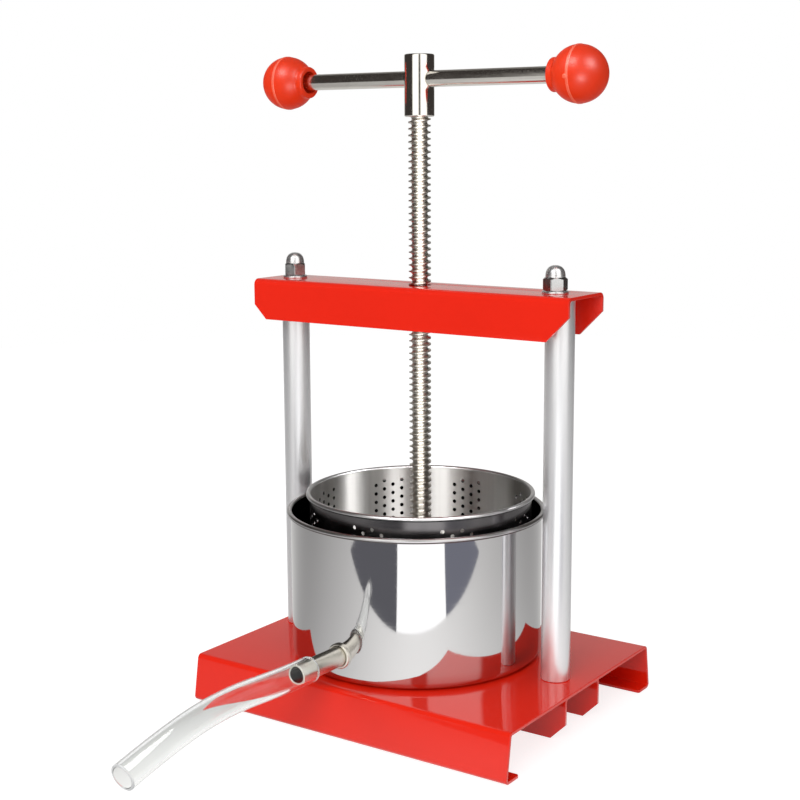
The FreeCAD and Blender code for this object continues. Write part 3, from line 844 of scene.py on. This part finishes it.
def make_column(side, finish):
    """Drawn tube between base and beam."""
    node = side + "_column"
    radius, tall = girth(node)
    slope = 0.0005
    lathe(node + "_tube", node, "frame", "column_aluminium", finish, rounded([
        (COLUMN_BORE, 0.0, 0.0002), (radius - slope, 0.0, 0.0), (radius, slope, 0.0),
        (radius, tall - slope, 0.0), (radius - slope, tall, 0.0),
        (COLUMN_BORE, tall, 0.0002)]), 160)


# Screw, head, bar and knobs

def make_screw(sizes, finish):
    """Screw with a real thread, a grooved journal below and a spigot on top."""
    radius = extent("press_screw").x / 2
    top = JOURNAL_HEIGHT + THREAD_LENGTH
    bm = bmesh.new()
    ribbon(bm, JOURNAL_HEIGHT, top, radius, sizes.thread_depth, sizes.thread_pitch,
           sizes.thread_crest, 72, 0.0012)
    core = radius - sizes.thread_depth - 0.0003
    edge = 0.0004
    turn(bm, [(0.0, 0.0), (JOURNAL - edge, 0.0), (JOURNAL, edge), (JOURNAL, GROOVE_FOOT),
              (GROOVE, GROOVE_FOOT), (GROOVE, GROOVE_TOP), (JOURNAL, GROOVE_TOP),
              (JOURNAL, JOURNAL_HEIGHT), (core, JOURNAL_HEIGHT), (core, top), (SPIGOT, top),
              (SPIGOT, top + SPIGOT_HEIGHT), (0.0, top + SPIGOT_HEIGHT)], 96)
    item = link("screw_threaded", finish_mesh(bm, "screw_threaded", finish, 30.0),
                standing("press_screw") @ Matrix.Rotation(math.radians(200), 4, "Z"))
    return fit(item, "spindle", "screw_steel", "press_screw")


def make_head(finish):
    """Turned head with a cross hole for the bar and a socket for the screw."""
    radius, tall = girth("screw_head")
    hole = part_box("tommy_bar")[0].z + extent("tommy_bar").z / 2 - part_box("screw_head")[0].z
    edge = 0.001
    rise = 0.00175
    rows = [(radius, hole + rise * k) for k in range(-4, 5)]
    below = [(0.0, SOCKET_DEPTH), (SOCKET, SOCKET_DEPTH), (SOCKET, 0.0), (radius - edge, 0.0)]
    below += arc((radius - edge, edge), edge, -80, 0, 5)
    above = arc((radius - edge, tall - edge), edge, 0, 90, 6) + [(0.0, tall)]
    row = len(below) + 4
    bm = bmesh.new()
    wide = BAR_BORE + 0.00025
    right, left = turn(bm, below + rows + above, 72,
                       holes=[(row, 0, 4, 8, wide, 0), (row, 36, 4, 8, wide, 0)])
    count = len(right)
    inner = {}
    for rim in (right, left):
        for vertex in rim:
            x, y, z = vertex.co
            shrink = BAR_BORE / wide
            inner[vertex] = bm.verts.new((x - math.copysign(0.0003, x), y * shrink,
                                          hole + (z - hole) * shrink))
        for k in range(count):
            following = rim[(k + 1) % count]
            bm.faces.new((rim[k], following, inner[following], inner[rim[k]]))
    for k in range(count):
        bm.faces.new((inner[right[k]], inner[right[(k + 1) % count]],
                      inner[left[(count // 2 - k - 1) % count]],
                      inner[left[(count // 2 - k) % count]]))
    bmesh.ops.recalc_face_normals(bm, faces=bm.faces)
    item = link("screw_head_polished", finish_mesh(bm, "screw_head_polished", finish, 30.0),
                standing("screw_head"))
    fit(item, "spindle", "nickel", "screw_head")


def bar_outline(radius, long, edge):
    """Side of a round bar that is centred on its place, with broken edges."""
    return rounded([(0.0, -long / 2, 0.0), (radius, -long / 2, edge),
                    (radius, long / 2, edge), (0.0, long / 2, 0.0)])


def make_bar(finish):
    """Round bar with broken edges."""
    long, _, wide = extent("tommy_bar")
    lathe("bar_polished", "tommy_bar", "handle", "nickel", finish,
          bar_outline(wide / 2, long, 0.0006), closed=False, at=along_x(middle("tommy_bar")))


def make_knob(side, seam, finish, scraped):
    """Moulded ball with a recessed neck, a parting line and a gate mark."""
    node = side + "_knob"
    low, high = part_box(node)
    radius = (high.z - low.z) / 2
    centre = middle(node)
    centre.x = low.x + radius if side == "left" else high.x - radius
    ball = radius - seam
    neck = KNOB_NECK
    recess = KNOB_REACH - 0.006
    bar_end = -0.0031
    meet = math.degrees(math.acos(neck / ball))
    join = math.sin(math.radians(meet)) * ball
    outline = arc((0.0, 0.0), ball, -90, -2.9, 40) + [(radius, -0.0006), (radius, 0.0006)]
    outline += arc((0.0, 0.0), ball, 2.9, meet - 2.2, 24) + [(neck + 0.00008, join + 0.00035)]
    outline += rounded([(neck, join + 0.0009, 0.0), (neck, KNOB_REACH, 0.0009),
                        (0.007, KNOB_REACH, 0.0007), (0.0066, recess, 0.0002),
                        (BAR_BORE, recess, 0.0002), (BAR_BORE, bar_end, 0.0),
                        (0.0, bar_end, 0.0)], 5)
    bm = bmesh.new()
    turn(bm, outline, 128)
    for face in bm.faces:
        face.material_index = int(all(abs(v.co.z) < 0.0009 and v.co.xy.length > ball * 0.98
                                      for v in face.verts))
    inward = 1 if side == "left" else -1
    at = along_x(centre, inward)
    slant = math.radians(6)
    outward = Vector((0.06 * inward, inward * math.cos(slant), -math.sin(slant))).normalized()
    local = at.to_3x3().inverted() @ outward
    faces, corners = len(bm.faces), len(bm.verts)
    turn(bm, [(0.0014, -0.0003), (0.00135, 0.0003), (0.0010, 0.00065), (0.0, 0.0008)], 24)
    bm.faces.ensure_lookup_table()
    bm.verts.ensure_lookup_table()
    seat = Matrix.Translation(local * (ball - 0.00002))
    bmesh.ops.transform(bm, verts=bm.verts[corners:],
                        matrix=seat @ local.to_track_quat("Z", "Y").to_matrix().to_4x4())
    for face in bm.faces[faces:]:
        face.material_index = 1
    item = link(node + "_moulded", finish_mesh(bm, node, finish, 32.0, scraped), at)
    return fit(item, "handle", "knob_plastic", node)


# Plate

def make_plate(finish):
    """Pressing plate, boss, thrust washer and pins."""
    hung = ("feed_plate", "plate_steel", finish)
    radius, tall = girth("press_plate")
    lathe("plate_turned", "press_plate", *hung, rounded([
        (0.0, 0.0, 0.0), (radius, 0.0, 0.001), (radius, tall, 0.001), (0.0, tall, 0.0)]),
        192, closed=False)
    radius, tall = girth("plate_boss")
    slope = 0.0015
    lathe("boss_turned", "plate_boss", *hung, rounded([
        (JOURNAL_BORE, 0.0, 0.0), (radius, 0.0, 0.0), (radius, tall - slope, 0.0004),
        (radius - slope, tall, 0.0004), (JOURNAL_BORE, tall, 0.0)]))
    lathe("thrust_washer_turned", "thrust_washer", *hung,
          washer_outline("thrust_washer", JOURNAL_BORE, 0.0002, 0.0002))
    for side in SIDES:
        node = side + "_retaining_pin"
        lying = Matrix.Translation(middle(node)) @ Matrix.Rotation(math.radians(90), 4, "X")
        lathe(node + "_turned", node, *hung,
              bar_outline(extent(node).x / 2, extent(node).y, 0.0003), 48, closed=False,
              at=lying)


# Vessels

def vessel_floor(radius, corner):
    """Outline of a drawn vessel's floor and rounded corner, seen from outside."""
    flat = [(0.0, 0.0), ((radius - corner) / 2, 0.0)]
    return flat + [tuple(p) for p in arc((radius - corner, corner), corner, -90, 0, 8)]


def add_bead(bm, inner, brim, bead, index):
    """Rolled bead round the rim, curled outwards, in the mesh's finish of that index, with
    its underside in the next one, whose dark tint is painted shade."""
    circle = arc((inner + bead, brim), bead, 0, 360, 24)[:-1]
    before = len(bm.faces)
    turn(bm, [tuple(p) for p in circle], 288, closed=True)
    bm.faces.ensure_lookup_table()
    bm.normal_update()
    for face in bm.faces[before:]:
        # Faces that look down take the next, dark finish: painted shade under the bead
        face.material_index = index + int(face.normal.z < -0.35)


def make_basket(sizes, finish, inside, rims):
    """Basket pierced in eight groups of four staggered columns of holes."""
    radius = extent("basket").x / 2 - 2 * BASKET_BEAD + VESSEL_GAUGE
    brim = extent("basket").z - BASKET_BEAD
    rise = sizes.hole_rise / 2
    top = sizes.hole_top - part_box("basket")[0].z + rise
    outline = vessel_floor(radius, 0.004)
    rows = [top - rise * k for k in range(2 * sizes.hole_rows + 1, -1, -1)]
    highest = len(outline) + len(rows) - 2
    outline += [(radius, z) for z in (*rows, (rows[-1] + brim) / 2, brim)]
    holes = [(highest - 2 * row - column % 2,
              group * BASKET_STEPS // HOLE_GROUPS + column * 2, 1, 1,
              sizes.hole_diameter / 2, 1)
             for group in range(HOLE_GROUPS) for column in range(GROUP_COLUMNS)
             for row in range(sizes.hole_rows)]
    bm = bmesh.new()
    turn(bm, outline, BASKET_STEPS, start=math.radians(-0.5), holes=holes)
    thick = thicken(bm, "basket", finish, VESSEL_GAUGE, inside)
    add_bead(thick, radius - VESSEL_GAUGE, brim, BASKET_BEAD, 2)
    mesh = finish_mesh(thick, "basket_pierced", finish, 40.0, inside)
    for rim in rims:
        mesh.materials.append(rim)
    item = link("basket_pierced", mesh, standing("basket"))
    return fit(item, "basket", "basket_steel", "basket")


def make_bucket(finish, rims):
    """Polished bucket with the outlet's hole low in its wall."""
    brim = extent("bucket").z - BUCKET_BEAD
    outline = vessel_floor(BUCKET_RADIUS, 0.005)
    row = len(outline) + 3
    heights = [SPOUT_HEIGHT + 0.0025 * k for k in range(-3, 4)]
    outline += [(BUCKET_RADIUS, z) for z in (*heights, brim * 0.5, brim * 0.8, brim)]
    bm = bmesh.new()
    turn(bm, outline, 288, start=math.radians(-90) + BUCKET_YAW,
         holes=[(row, 0, 3, 6, SPOUT_RADIUS + 0.0001, 0)])
    thick = thicken(bm, "bucket", finish, VESSEL_GAUGE)
    add_bead(thick, BUCKET_RADIUS - VESSEL_GAUGE, brim, BUCKET_BEAD, 1)
    mesh = finish_mesh(thick, "bucket_polished", finish, 40.0, rims[0])
    mesh.materials.append(rims[1])
    item = link("bucket_polished", mesh, standing("bucket"))
    fit(item, "bucket", "polished_steel", "bucket")


def make_spout(finish, bore):
    """Outlet tube, and the rounded ring that seats it on the bucket's wall."""
    at = towards_spout(BUCKET_FOOT + Vector((0, 0, SPOUT_HEIGHT)))
    inside = BUCKET_RADIUS - 0.002
    mouth = BUCKET_RADIUS + SPOUT_REACH
    stand = BUCKET_RADIUS + RING_HEIGHT
    ring_bore = SPOUT_RADIUS + 0.0001

    # The bore's faces take the dark finish, painted shade inside the spout
    def mark_bore(bm):
        for face in bm.faces:
            widest = max(v.co.xy.length for v in face.verts)
            face.material_index = int(widest < SPOUT_BORE + 0.00002)

    def hug_wall(bm):
        for vertex in bm.verts:
            if vertex.co.z < BUCKET_RADIUS + 1e-6:
                vertex.co.z = math.sqrt(BUCKET_RADIUS ** 2 - vertex.co.x ** 2)

    lathe("spout_tube", "spout", "bucket", "polished_steel", finish, rounded([
        (SPOUT_BORE, inside, 0.0002), (SPOUT_RADIUS, inside, 0.0002),
        (SPOUT_RADIUS, mouth, 0.00045), (SPOUT_BORE, mouth, 0.0004)]),
        at=at, second=bore, work=mark_bore)
    lathe("spout_ring_rounded", "spout_ring", "bucket", "polished_steel", finish, rounded([
        (ring_bore, BUCKET_RADIUS, 0.0), (RING_RADIUS, BUCKET_RADIUS, 0.0),
        (RING_RADIUS, stand, 0.0009), (ring_bore, stand, 0.0006)]), at=at, work=hug_wall)


# Hose

def route_point(out, over):
    """A point of the hose's route in the part's own frame."""
    distance = BUCKET_RADIUS + out
    return BUCKET_FOOT + Vector((math.sin(BUCKET_YAW) * distance,
                                 -math.cos(BUCKET_YAW) * distance, SPOUT_HEIGHT + over))


def hose_line():
    """Points along the hose's own smooth line."""
    curve = bpy.data.curves.new("hose_line", "CURVE")
    curve.dimensions = "3D"
    spline = curve.splines.new("NURBS")
    spline.points.add(len(HOSE_ROUTE) - 1)
    for point, place in zip(spline.points, HOSE_ROUTE):
        point.co = (*route_point(*place), 1.0)
    spline.order_u = 3
    spline.use_endpoint_u = True
    spline.resolution_u = 96
    item = bpy.data.objects.new("hose_line", curve)
    bpy.context.scene.collection.objects.link(item)
    mesh = bpy.data.meshes.new_from_object(item)
    points = [vertex.co.copy() for vertex in mesh.vertices]
    bpy.data.objects.remove(item)
    return points


def make_hose(sizes, studio, finish, cut):
    """Clear tube pushed over the spout's mouth, open at its cut end."""
    points = hose_line()
    outer = sizes.hose_diameter / 2
    inner = sizes.hose_bore / 2
    edge = 0.0003
    sideways = Vector((math.cos(BUCKET_YAW), math.sin(BUCKET_YAW), 0.0))
    section = []
    last = len(points) - 1
    for k, point in enumerate(points):
        ahead = (points[min(k + 1, last)] - points[max(k - 1, 0)]).normalized()
        section.append((point, ahead))
    first, final = section[0], section[-1]
    rings = [(first[0], first[1], inner + edge), (first[0], first[1], outer - edge),
             (first[0] + first[1] * edge, first[1], outer)]
    rings += [(point, ahead, outer) for point, ahead in section[1:-1]]
    rings += [(final[0] - final[1] * edge, final[1], outer),
              (final[0], final[1], outer - edge), (final[0], final[1], inner + edge),
              (final[0] - final[1] * edge, final[1], inner)]
    rings += [(point, ahead, inner) for point, ahead in reversed(section[1:-1])]
    rings += [(first[0] + first[1] * edge, first[1], inner)]
    bm = bmesh.new()
    count = 96
    grid = []
    for point, ahead, radius in rings:
        over = sideways.cross(ahead).normalized()
        grid.append([bm.verts.new(point + (sideways * math.cos(a) + over * math.sin(a))
                                  * radius)
                     for a in (2 * math.pi * k / count for k in range(count))])
    ends = (0, len(section), len(section) + 1, len(section) + 2, len(grid) - 1)
    for k in range(len(grid)):
        here, following = grid[k], grid[(k + 1) % len(grid)]
        for j in range(count):
            face = bm.faces.new((here[j], here[(j + 1) % count],
                                 following[(j + 1) % count], following[j]))
            face.material_index = int(k in ends)
    bmesh.ops.recalc_face_normals(bm, faces=bm.faces)
    item = link("hose_clear", finish_mesh(bm, "hose_clear", finish, 50.0, cut))
    fit(item, "bucket", "hose_plastic", "hose")
    make_glints(studio, "hose", [item])


# Studio

# Bearings round the studio count from the camera's side. These are in degrees: where the
# mirrored room's pale front wall ends, the dark slot in it, the pale wall behind, where
# the front wall ends above, and where the back wall grows dimmer upwards.
FRONT_EDGE = (53, 60)
SLOT_EDGE = (5.5, 9.0)
BACK_EDGE = (146, 156)
TOP_EDGE = (78, 88)
DIM_EDGE = (8, 40)
# Where the middles of the front wall and of the slot lie, in radians, how dark the slot is,
# how pale the back wall is and how much of that it loses upwards, and the room's glow
FRONT_TURN = 0.045
SLOT_TURN = 0.01
SLOT_DARK = 0.97
BACK_PALE = 0.35
BACK_LOSS = 0.24
ROOM_GLOW = 1.5
# How brightly the mirrored floor glows, by its bearing as a share of a full turn that
# starts and ends behind the press
FLOOR_LEVELS = ((0.0, 0.55), (0.10, 0.50), (0.19, 0.26), (0.28, 0.42), (0.38, 0.60),
                (0.5, 0.95), (0.62, 0.62), (0.72, 0.50), (0.82, 0.30), (0.90, 0.45),
                (1.0, 0.55))
# The same glow's strength near the bucket and far from it, and how far away that is
FLOOR_GLOW = (1.5, 1.2)
FLOOR_AWAY = (0.2, 0.75)
WHITE = (1.0, 1.0, 1.0, 1.0)
# Cards on the floor: corners in metres right of and towards the camera, tint, and glow
CARDS = {
    "left_flag": (((-0.076, 0.264), (-0.26, 0.9), (-0.46, 0.9), (-0.43, 0.4),
                   (-0.40, 0.262)), (0.152, 0.152, 0.171), 1.0),
    "right_flag": (((0.375, 0.288), (0.41, 0.5), (0.42, 0.9), (0.369, 0.9),
                    (0.117, 0.286)), (0.241, 0.247, 0.30), 1.0),
    "white_strip": (((0.116, 0.285), (0.366, 0.9), (-0.258, 0.9), (-0.075, 0.266)),
                    (1.0, 1.0, 1.0), 1.7),
}
# Lamps for the whole press: the setting with their power, their place, and their width
LAMPS = {
    "key_lamp": ("key_power", (0.40, -1.0, 0.8), 0.6),
    "fill_lamp": ("fill_power", (-0.9, -0.7, 0.9), 0.5),
}
LAMP_TARGET = (0, 0, 0.2)
# Soft boxes for some pieces only: the height they point at, their power in watts or the
# setting with it, and each one's bearing from the camera's side, elevation, width and height
GLINTS = {
    "hose": (0.007, 14.0, {"hose_glint": (45.7, 69.4, 0.34, 1.0)}),
    "domes": (0.28, 1.2, {"right_dome_glint": (43.0, 40.0, 0.6, 0.5),
                          "left_dome_glint": (-43.0, 40.0, 0.6, 0.5)}),
    "screw": (0.25, 44.0, {"screw_glint": (2.0, 8.0, 1.3, 3.2)}),
    "knobs": (0.395, "glint_power", {"right_glint": (43.0, 33.0, 0.46, 0.46),
                                     "left_glint": (-38.6, 45.0, 0.50, 0.46),
                                     "low_glint": (4.0, -21.0, 0.40, 0.36)}),
    "basket": (0.12, "band_power", {"left_band": (-24.6, 35.0, 0.34, 0.6),
                                    "right_band": (30.5, 35.0, 0.32, 0.6),
                                    "side_band": (89.0, 35.0, 0.12, 0.6)}),
}


def compass(studio):
    """The camera's level bearings: back towards it, and to its right."""
    turned = studio.azimuth
    towards = Vector((math.sin(turned), -math.cos(turned), 0.0))
    return towards, Vector((math.cos(turned), math.sin(turned), 0.0))


def make_camera(studio):
    """Camera where the picture was taken from."""
    towards, right = compass(studio)
    back = towards * math.cos(studio.elevation) + Vector((0, 0, math.sin(studio.elevation)))
    up = back.cross(right)
    turned = Matrix.Rotation(studio.roll, 3, back)
    axes = Matrix((turned @ right, turned @ up, back)).transposed().to_4x4()
    data = bpy.data.cameras.new("press_camera")
    data.lens = studio.lens
    data.sensor_width = 36.0
    data.sensor_fit = "HORIZONTAL"
    data.clip_start = 0.01
    data.clip_end = 50.0
    camera = bpy.data.objects.new("press_camera", data)
    bpy.context.scene.collection.objects.link(camera)
    camera.matrix_world = Matrix.Translation(studio.camera_place) @ axes
    bpy.context.scene.camera = camera


def make_lamp(name, place, target, power, wide, tall):
    """A soft lamp that points at a target and that nothing mirrors."""
    data = bpy.data.lights.new(name, "AREA")
    data.energy = power
    data.shape = "RECTANGLE"
    data.size = wide
    data.size_y = tall
    lamp = bpy.data.objects.new(name, data)
    bpy.context.scene.collection.objects.link(lamp)
    lamp.location = place
    lamp.visible_camera = False
    lamp.visible_glossy = False
    lamp.rotation_euler = (Vector(target) - Vector(place)).to_track_quat("-Z", "Y").to_euler()
    return lamp


def make_glints(studio, name, pieces):
    """Soft boxes that show as highlights on some pieces only and light nothing else."""
    height, power, boxes = GLINTS[name]
    if isinstance(power, str):
        power = getattr(studio, power)
    towards, right = compass(studio)
    lit = bpy.data.collections.new("lit_" + name)
    for piece in pieces:
        lit.objects.link(piece)
    target = Vector((PRESS_AXIS.x, PRESS_AXIS.y, height))
    for key, (bearing, elevation, wide, tall) in boxes.items():
        level = towards * math.cos(math.radians(bearing)) + right * math.sin(
            math.radians(bearing))
        way = level * math.cos(math.radians(elevation))
        way.z = math.sin(math.radians(elevation))
        lamp = make_lamp(key, target + way, target, power, wide, tall)
        lamp.visible_glossy = True
        lamp.visible_diffuse = False
        lamp.visible_transmission = False
        lamp.light_linking.receiver_collection = lit


def glowing(name, tint, strength):
    """Plain glow for a card that only shows in reflections."""
    graph = Graph(bpy.data.materials.new(name))
    glow = graph.add("Emission", {"Color": (*tint, 1.0), "Strength": strength})
    graph.add("OutputMaterial", {"Surface": glow.outputs[0]})
    return graph.owner


def make_card(name, corners, tint, strength, studio):
    """A card flat on the floor, placed from the bucket's axis by (right of, towards) the
    camera, that only polished pieces see."""
    towards, right = compass(studio)
    bm = bmesh.new()
    bm.faces.new([bm.verts.new(right * x + towards * y + Vector((
        BUCKET_FOOT.x, BUCKET_FOOT.y, 0.0008))) for x, y in corners])
    mesh = bpy.data.meshes.new(name)
    bm.to_mesh(mesh)
    bm.free()
    mesh.materials.append(glowing(name, tint, strength))
    card = link(name, mesh)
    card.visible_camera = False
    card.visible_diffuse = False
    card.visible_transmission = False
    card.visible_volume_scatter = False
    card.visible_shadow = False


def floor_glow(graph, studio):
    """Glow of the floor by its bearing from the bucket, counted from the camera's side, a
    little less far away."""
    where = graph.add("NewGeometry").outputs["Position"]
    off = graph.vector("SUBTRACT", where, BUCKET_FOOT)
    ahead, aside = [graph.vector("DOT_PRODUCT", off, axis, "Value") for axis in compass(studio)]
    bearing = graph.fade(graph.sum("ARCTAN2", aside, ahead), -math.pi, math.pi)
    ramp = graph.add("ValToRGB", {"Fac": bearing})
    ramp.color_ramp.interpolation = "B_SPLINE"
    for place, _ in FLOOR_LEVELS[1:-1]:
        ramp.color_ramp.elements.new(place)
    for stop, (_, level) in zip(ramp.color_ramp.elements, FLOOR_LEVELS):
        stop.color = (level, level * 0.99, level * 0.975, 1.0)
    away = graph.vector("LENGTH", off, result="Value")
    strength = graph.fade(away, *FLOOR_AWAY, *FLOOR_GLOW)
    return graph.add("Emission", {"Color": ramp.outputs[0], "Strength": strength}).outputs[0]


def make_floor(studio):
    """Pale floor that keeps a light shadow of the press. Polished pieces mirror it as a
    painted glow, bright in the middle and dimmer at both sides."""
    graph = Graph(bpy.data.materials.new("pale_floor"))
    path = graph.add("LightPath")
    seen = graph.sum("MAXIMUM", path.outputs["Is Camera Ray"],
                     path.outputs["Is Transmission Ray"])
    plain, shaded = [graph.add("BsdfDiffuse", {"Color": (pale, pale, pale, 1.0)}).outputs[0]
                     for pale in (0.8, 0.4)]
    glow = graph.add("Emission", {"Strength": 0.8})
    both = graph.add("AddShader", {0: shaded, 1: glow.outputs[0]})
    mix = graph.add("MixShader", {0: seen, 1: plain, 2: both.outputs[0]})
    mirrored = graph.add("MixShader", {0: path.outputs["Is Glossy Ray"], 1: mix.outputs[0],
                                       2: floor_glow(graph, studio)})
    graph.add("OutputMaterial", {"Surface": mirrored.outputs[0]})
    bm = bmesh.new()
    turn(bm, [(1.8, 0.0), (0.9, 0.0), (0.0, 0.0)], 128)
    floor = link("studio_floor", finish_mesh(bm, "studio_floor", graph.owner),
                 Matrix.Translation((0, 0, -0.0002)))


def make_world(studio):
    """White backdrop for the eye, even light, and a room of pale and dark walls that only
    polished surfaces mirror."""
    world = bpy.data.worlds.new("studio")
    world.cycles.sampling_method = "NONE"
    bpy.context.scene.world = world
    graph = Graph(world)

    def past(angle, edge):
        """Nothing below the edge's lower angle, all above its upper one."""
        low, high = edge
        return graph.fade(angle, math.radians(low), math.radians(high),
                          interpolation_type="SMOOTHSTEP")

    def rest_of(value):
        return graph.sum("SUBTRACT", 1.0, value)

    def aside_from(turn_of_it):
        return graph.sum("ABSOLUTE", graph.sum("SUBTRACT", bearing, turn_of_it))

    def product(first, second):
        return graph.sum("MULTIPLY", first, second)

    where = graph.add("TexCoord").outputs["Generated"]
    ahead, aside = [graph.vector("DOT_PRODUCT", where, axis, "Value")
                    for axis in compass(studio)]
    bearing = graph.sum("ARCTAN2", aside, ahead)
    turned = aside_from(FRONT_TURN)
    rise = graph.sum("ARCSINE", graph.add("SeparateXYZ", {0: where}).outputs["Z"])
    slot = rest_of(past(aside_from(SLOT_TURN), SLOT_EDGE))
    front = product(rest_of(past(turned, FRONT_EDGE)), rest_of(product(slot, SLOT_DARK)))
    front = product(front, rest_of(past(rise, TOP_EDGE)))
    dimmed = graph.sum("SUBTRACT", BACK_PALE, product(BACK_LOSS, past(rise, DIM_EDGE)))
    back = product(past(turned, BACK_EDGE), dimmed)
    ramp = graph.add("ValToRGB", {"Fac": graph.sum("MAXIMUM", front, back)})
    ramp.color_ramp.elements[0].color = (0.032, 0.028, 0.026, 1.0)
    ramp.color_ramp.elements[1].color = (1.0, 0.985, 0.95, 1.0)
    room, white, even = [
        graph.add("Background", {"Color": tint, "Strength": strength}).outputs[0]
        for tint, strength in ((ramp.outputs[0], ROOM_GLOW), (WHITE, 1.0),
                               (WHITE, studio.soft_level))]
    path = graph.add("LightPath")
    seen = graph.sum("MAXIMUM", path.outputs["Is Camera Ray"],
                     path.outputs["Is Transmission Ray"])
    mirrored = graph.add("MixShader", {0: path.outputs["Is Glossy Ray"], 1: even, 2: room})
    both = graph.add("MixShader", {0: seen, 1: mirrored.outputs[0], 2: white})
    graph.add("OutputWorld", {"Surface": both.outputs[0]})


# Operators

class PressOperator:
    """What all of the press's operators share."""
    bl_options = {"REGISTER", "UNDO"}

    def execute(self, context):
        scene = context.scene
        self.build(scene.press_sizes, scene.press_colours, scene.press_studio)
        return {"FINISHED"}


class PRESS_OT_studio(PressOperator, bpy.types.Operator):
    """Set up the camera, lamps, floor and backdrop"""
    bl_idname = "press.studio"
    bl_label = "Studio"

    def build(self, sizes, colours, studio):
        bpy.context.scene.view_settings.view_transform = "Standard"
        make_camera(studio)
        make_floor(studio)
        make_world(studio)
        for name, (power, place, wide) in LAMPS.items():
            make_lamp(name, place, LAMP_TARGET, getattr(studio, power), wide, wide)
        for name, (corners, tint, strength) in CARDS.items():
            make_card(name, corners, tint, strength, studio)


class PRESS_OT_hose(PressOperator, bpy.types.Operator):
    """Build the clear hose"""
    bl_idname = "press.hose"
    bl_label = "Hose"

    def build(self, sizes, colours, studio):
        make_hose(sizes, studio, clear_vinyl(colours.hose), frosted_vinyl(CUT_END))


class PRESS_OT_sheets(PressOperator, bpy.types.Operator):
    """Build the painted base, its channel, the beam and the screw's nut"""
    bl_idname = "press.sheets"
    bl_label = "Folded Sheets"

    def build(self, sizes, colours, studio):
        paint = gloss_paint(colours.paint)
        for node in ("base_plate", "base_channel", "top_beam"):
            folded_sheet(node, paint, sizes.sheet_edge)
        radius, tall = girth("press_nut")
        lathe("press_nut_painted", "press_nut", "frame", "red_paint", paint, rounded([
            (PRESS_NUT_BORE, 0.0, 0.0004), (radius, 0.0, 0.001), (radius, tall, 0.001),
            (PRESS_NUT_BORE, tall, 0.0004)]))


class PRESS_OT_columns(PressOperator, bpy.types.Operator):
    """Build both columns with their rods, nuts and washers"""
    bl_idname = "press.columns"
    bl_label = "Columns"

    def build(self, sizes, colours, studio):
        zinc = bright_zinc(colours.zinc)
        domed = satin_zinc(colours.dome)
        aluminium = drawn_aluminium(colours.aluminium)
        for side in SIDES:
            make_column(side, aluminium)
            make_rod(side, zinc)
        nuts = [make_fasteners(side, zinc, domed) for side in SIDES]
        make_glints(studio, "domes", nuts)


class PRESS_OT_screw(PressOperator, bpy.types.Operator):
    """Build the screw and its head"""
    bl_idname = "press.screw"
    bl_label = "Screw"

    def build(self, sizes, colours, studio):
        screw = make_screw(sizes, rolled_steel(colours.screw))
        make_glints(studio, "screw", [screw])
        make_head(polished_nickel("polished_nickel", colours.nickel, 0.09, 0.16))


class PRESS_OT_handle(PressOperator, bpy.types.Operator):
    """Build the sliding bar and its knobs"""
    bl_idname = "press.handle"
    bl_label = "Handle"

    def build(self, sizes, colours, studio):
        make_bar(polished_nickel("rubbed_nickel", colours.nickel, 0.15, 0.21))
        plastic = moulded_plastic(colours.knob)
        scraped = scraped_plastic(colours.seam)
        knobs = [make_knob(side, sizes.seam, plastic, scraped) for side in SIDES]
        make_glints(studio, "knobs", knobs)


class PRESS_OT_plate(PressOperator, bpy.types.Operator):
    """Build the pressing plate with its boss, washer and pins"""
    bl_idname = "press.plate"
    bl_label = "Pressing Plate"

    def build(self, sizes, colours, studio):
        make_plate(turned_steel(colours.plate))


class PRESS_OT_basket(PressOperator, bpy.types.Operator):
    """Build the perforated basket"""
    bl_idname = "press.basket"
    bl_label = "Basket"

    def build(self, sizes, colours, studio):
        rims = rim_finishes(colours.bucket)
        basket = make_basket(sizes, plain_basket(colours.outside),
                             brushed_basket(colours.basket), rims)
        make_glints(studio, "basket", [basket])


class PRESS_OT_bucket(PressOperator, bpy.types.Operator):
    """Build the juice bucket, its spout and the spout's ring"""
    bl_idname = "press.bucket"
    bl_label = "Bucket"

    def build(self, sizes, colours, studio):
        rims = rim_finishes(colours.bucket)
        make_bucket(mirror_steel(colours.bucket), rims)
        make_spout(spout_steel(colours.spout), dull_steel_painted_shade("spout_bore", SPOUT_BORE_SHADE))


OPERATORS = (PRESS_OT_studio, PRESS_OT_hose, PRESS_OT_sheets, PRESS_OT_columns,
             PRESS_OT_screw, PRESS_OT_handle, PRESS_OT_plate, PRESS_OT_basket,
             PRESS_OT_bucket)
GROUPS = {"press_sizes": PressSizes, "press_colours": PressColours,
          "press_studio": PressStudio}


class PRESS_PT_sidebar(bpy.types.Panel):
    """Settings and build steps of the fruit press"""
    bl_label = "Fruit Press"
    bl_space_type = "VIEW_3D"
    bl_region_type = "UI"
    bl_category = "Fruit Press"

    def draw(self, context):
        for key, group in GROUPS.items():
            box = self.layout.box()
            for name in group.__annotations__:
                box.prop(getattr(context.scene, key), name)
        for operator in OPERATORS:
            self.layout.operator(operator.bl_idname)


def register():
    for item in (*GROUPS.values(), *OPERATORS, PRESS_PT_sidebar):
        bpy.utils.register_class(item)
    for key, group in GROUPS.items():
        setattr(bpy.types.Scene, key, bpy.props.PointerProperty(type=group))


def unregister():
    for key in GROUPS:
        delattr(bpy.types.Scene, key)
    for item in (PRESS_PT_sidebar, *reversed(OPERATORS), *reversed(GROUPS.values())):
        bpy.utils.unregister_class(item)


def main():
    """Build everything in order."""
    register()
    for operator in OPERATORS:
        getattr(bpy.ops.press, operator.bl_idname.split(".")[1])()


if __name__ == "__main__":
    main()
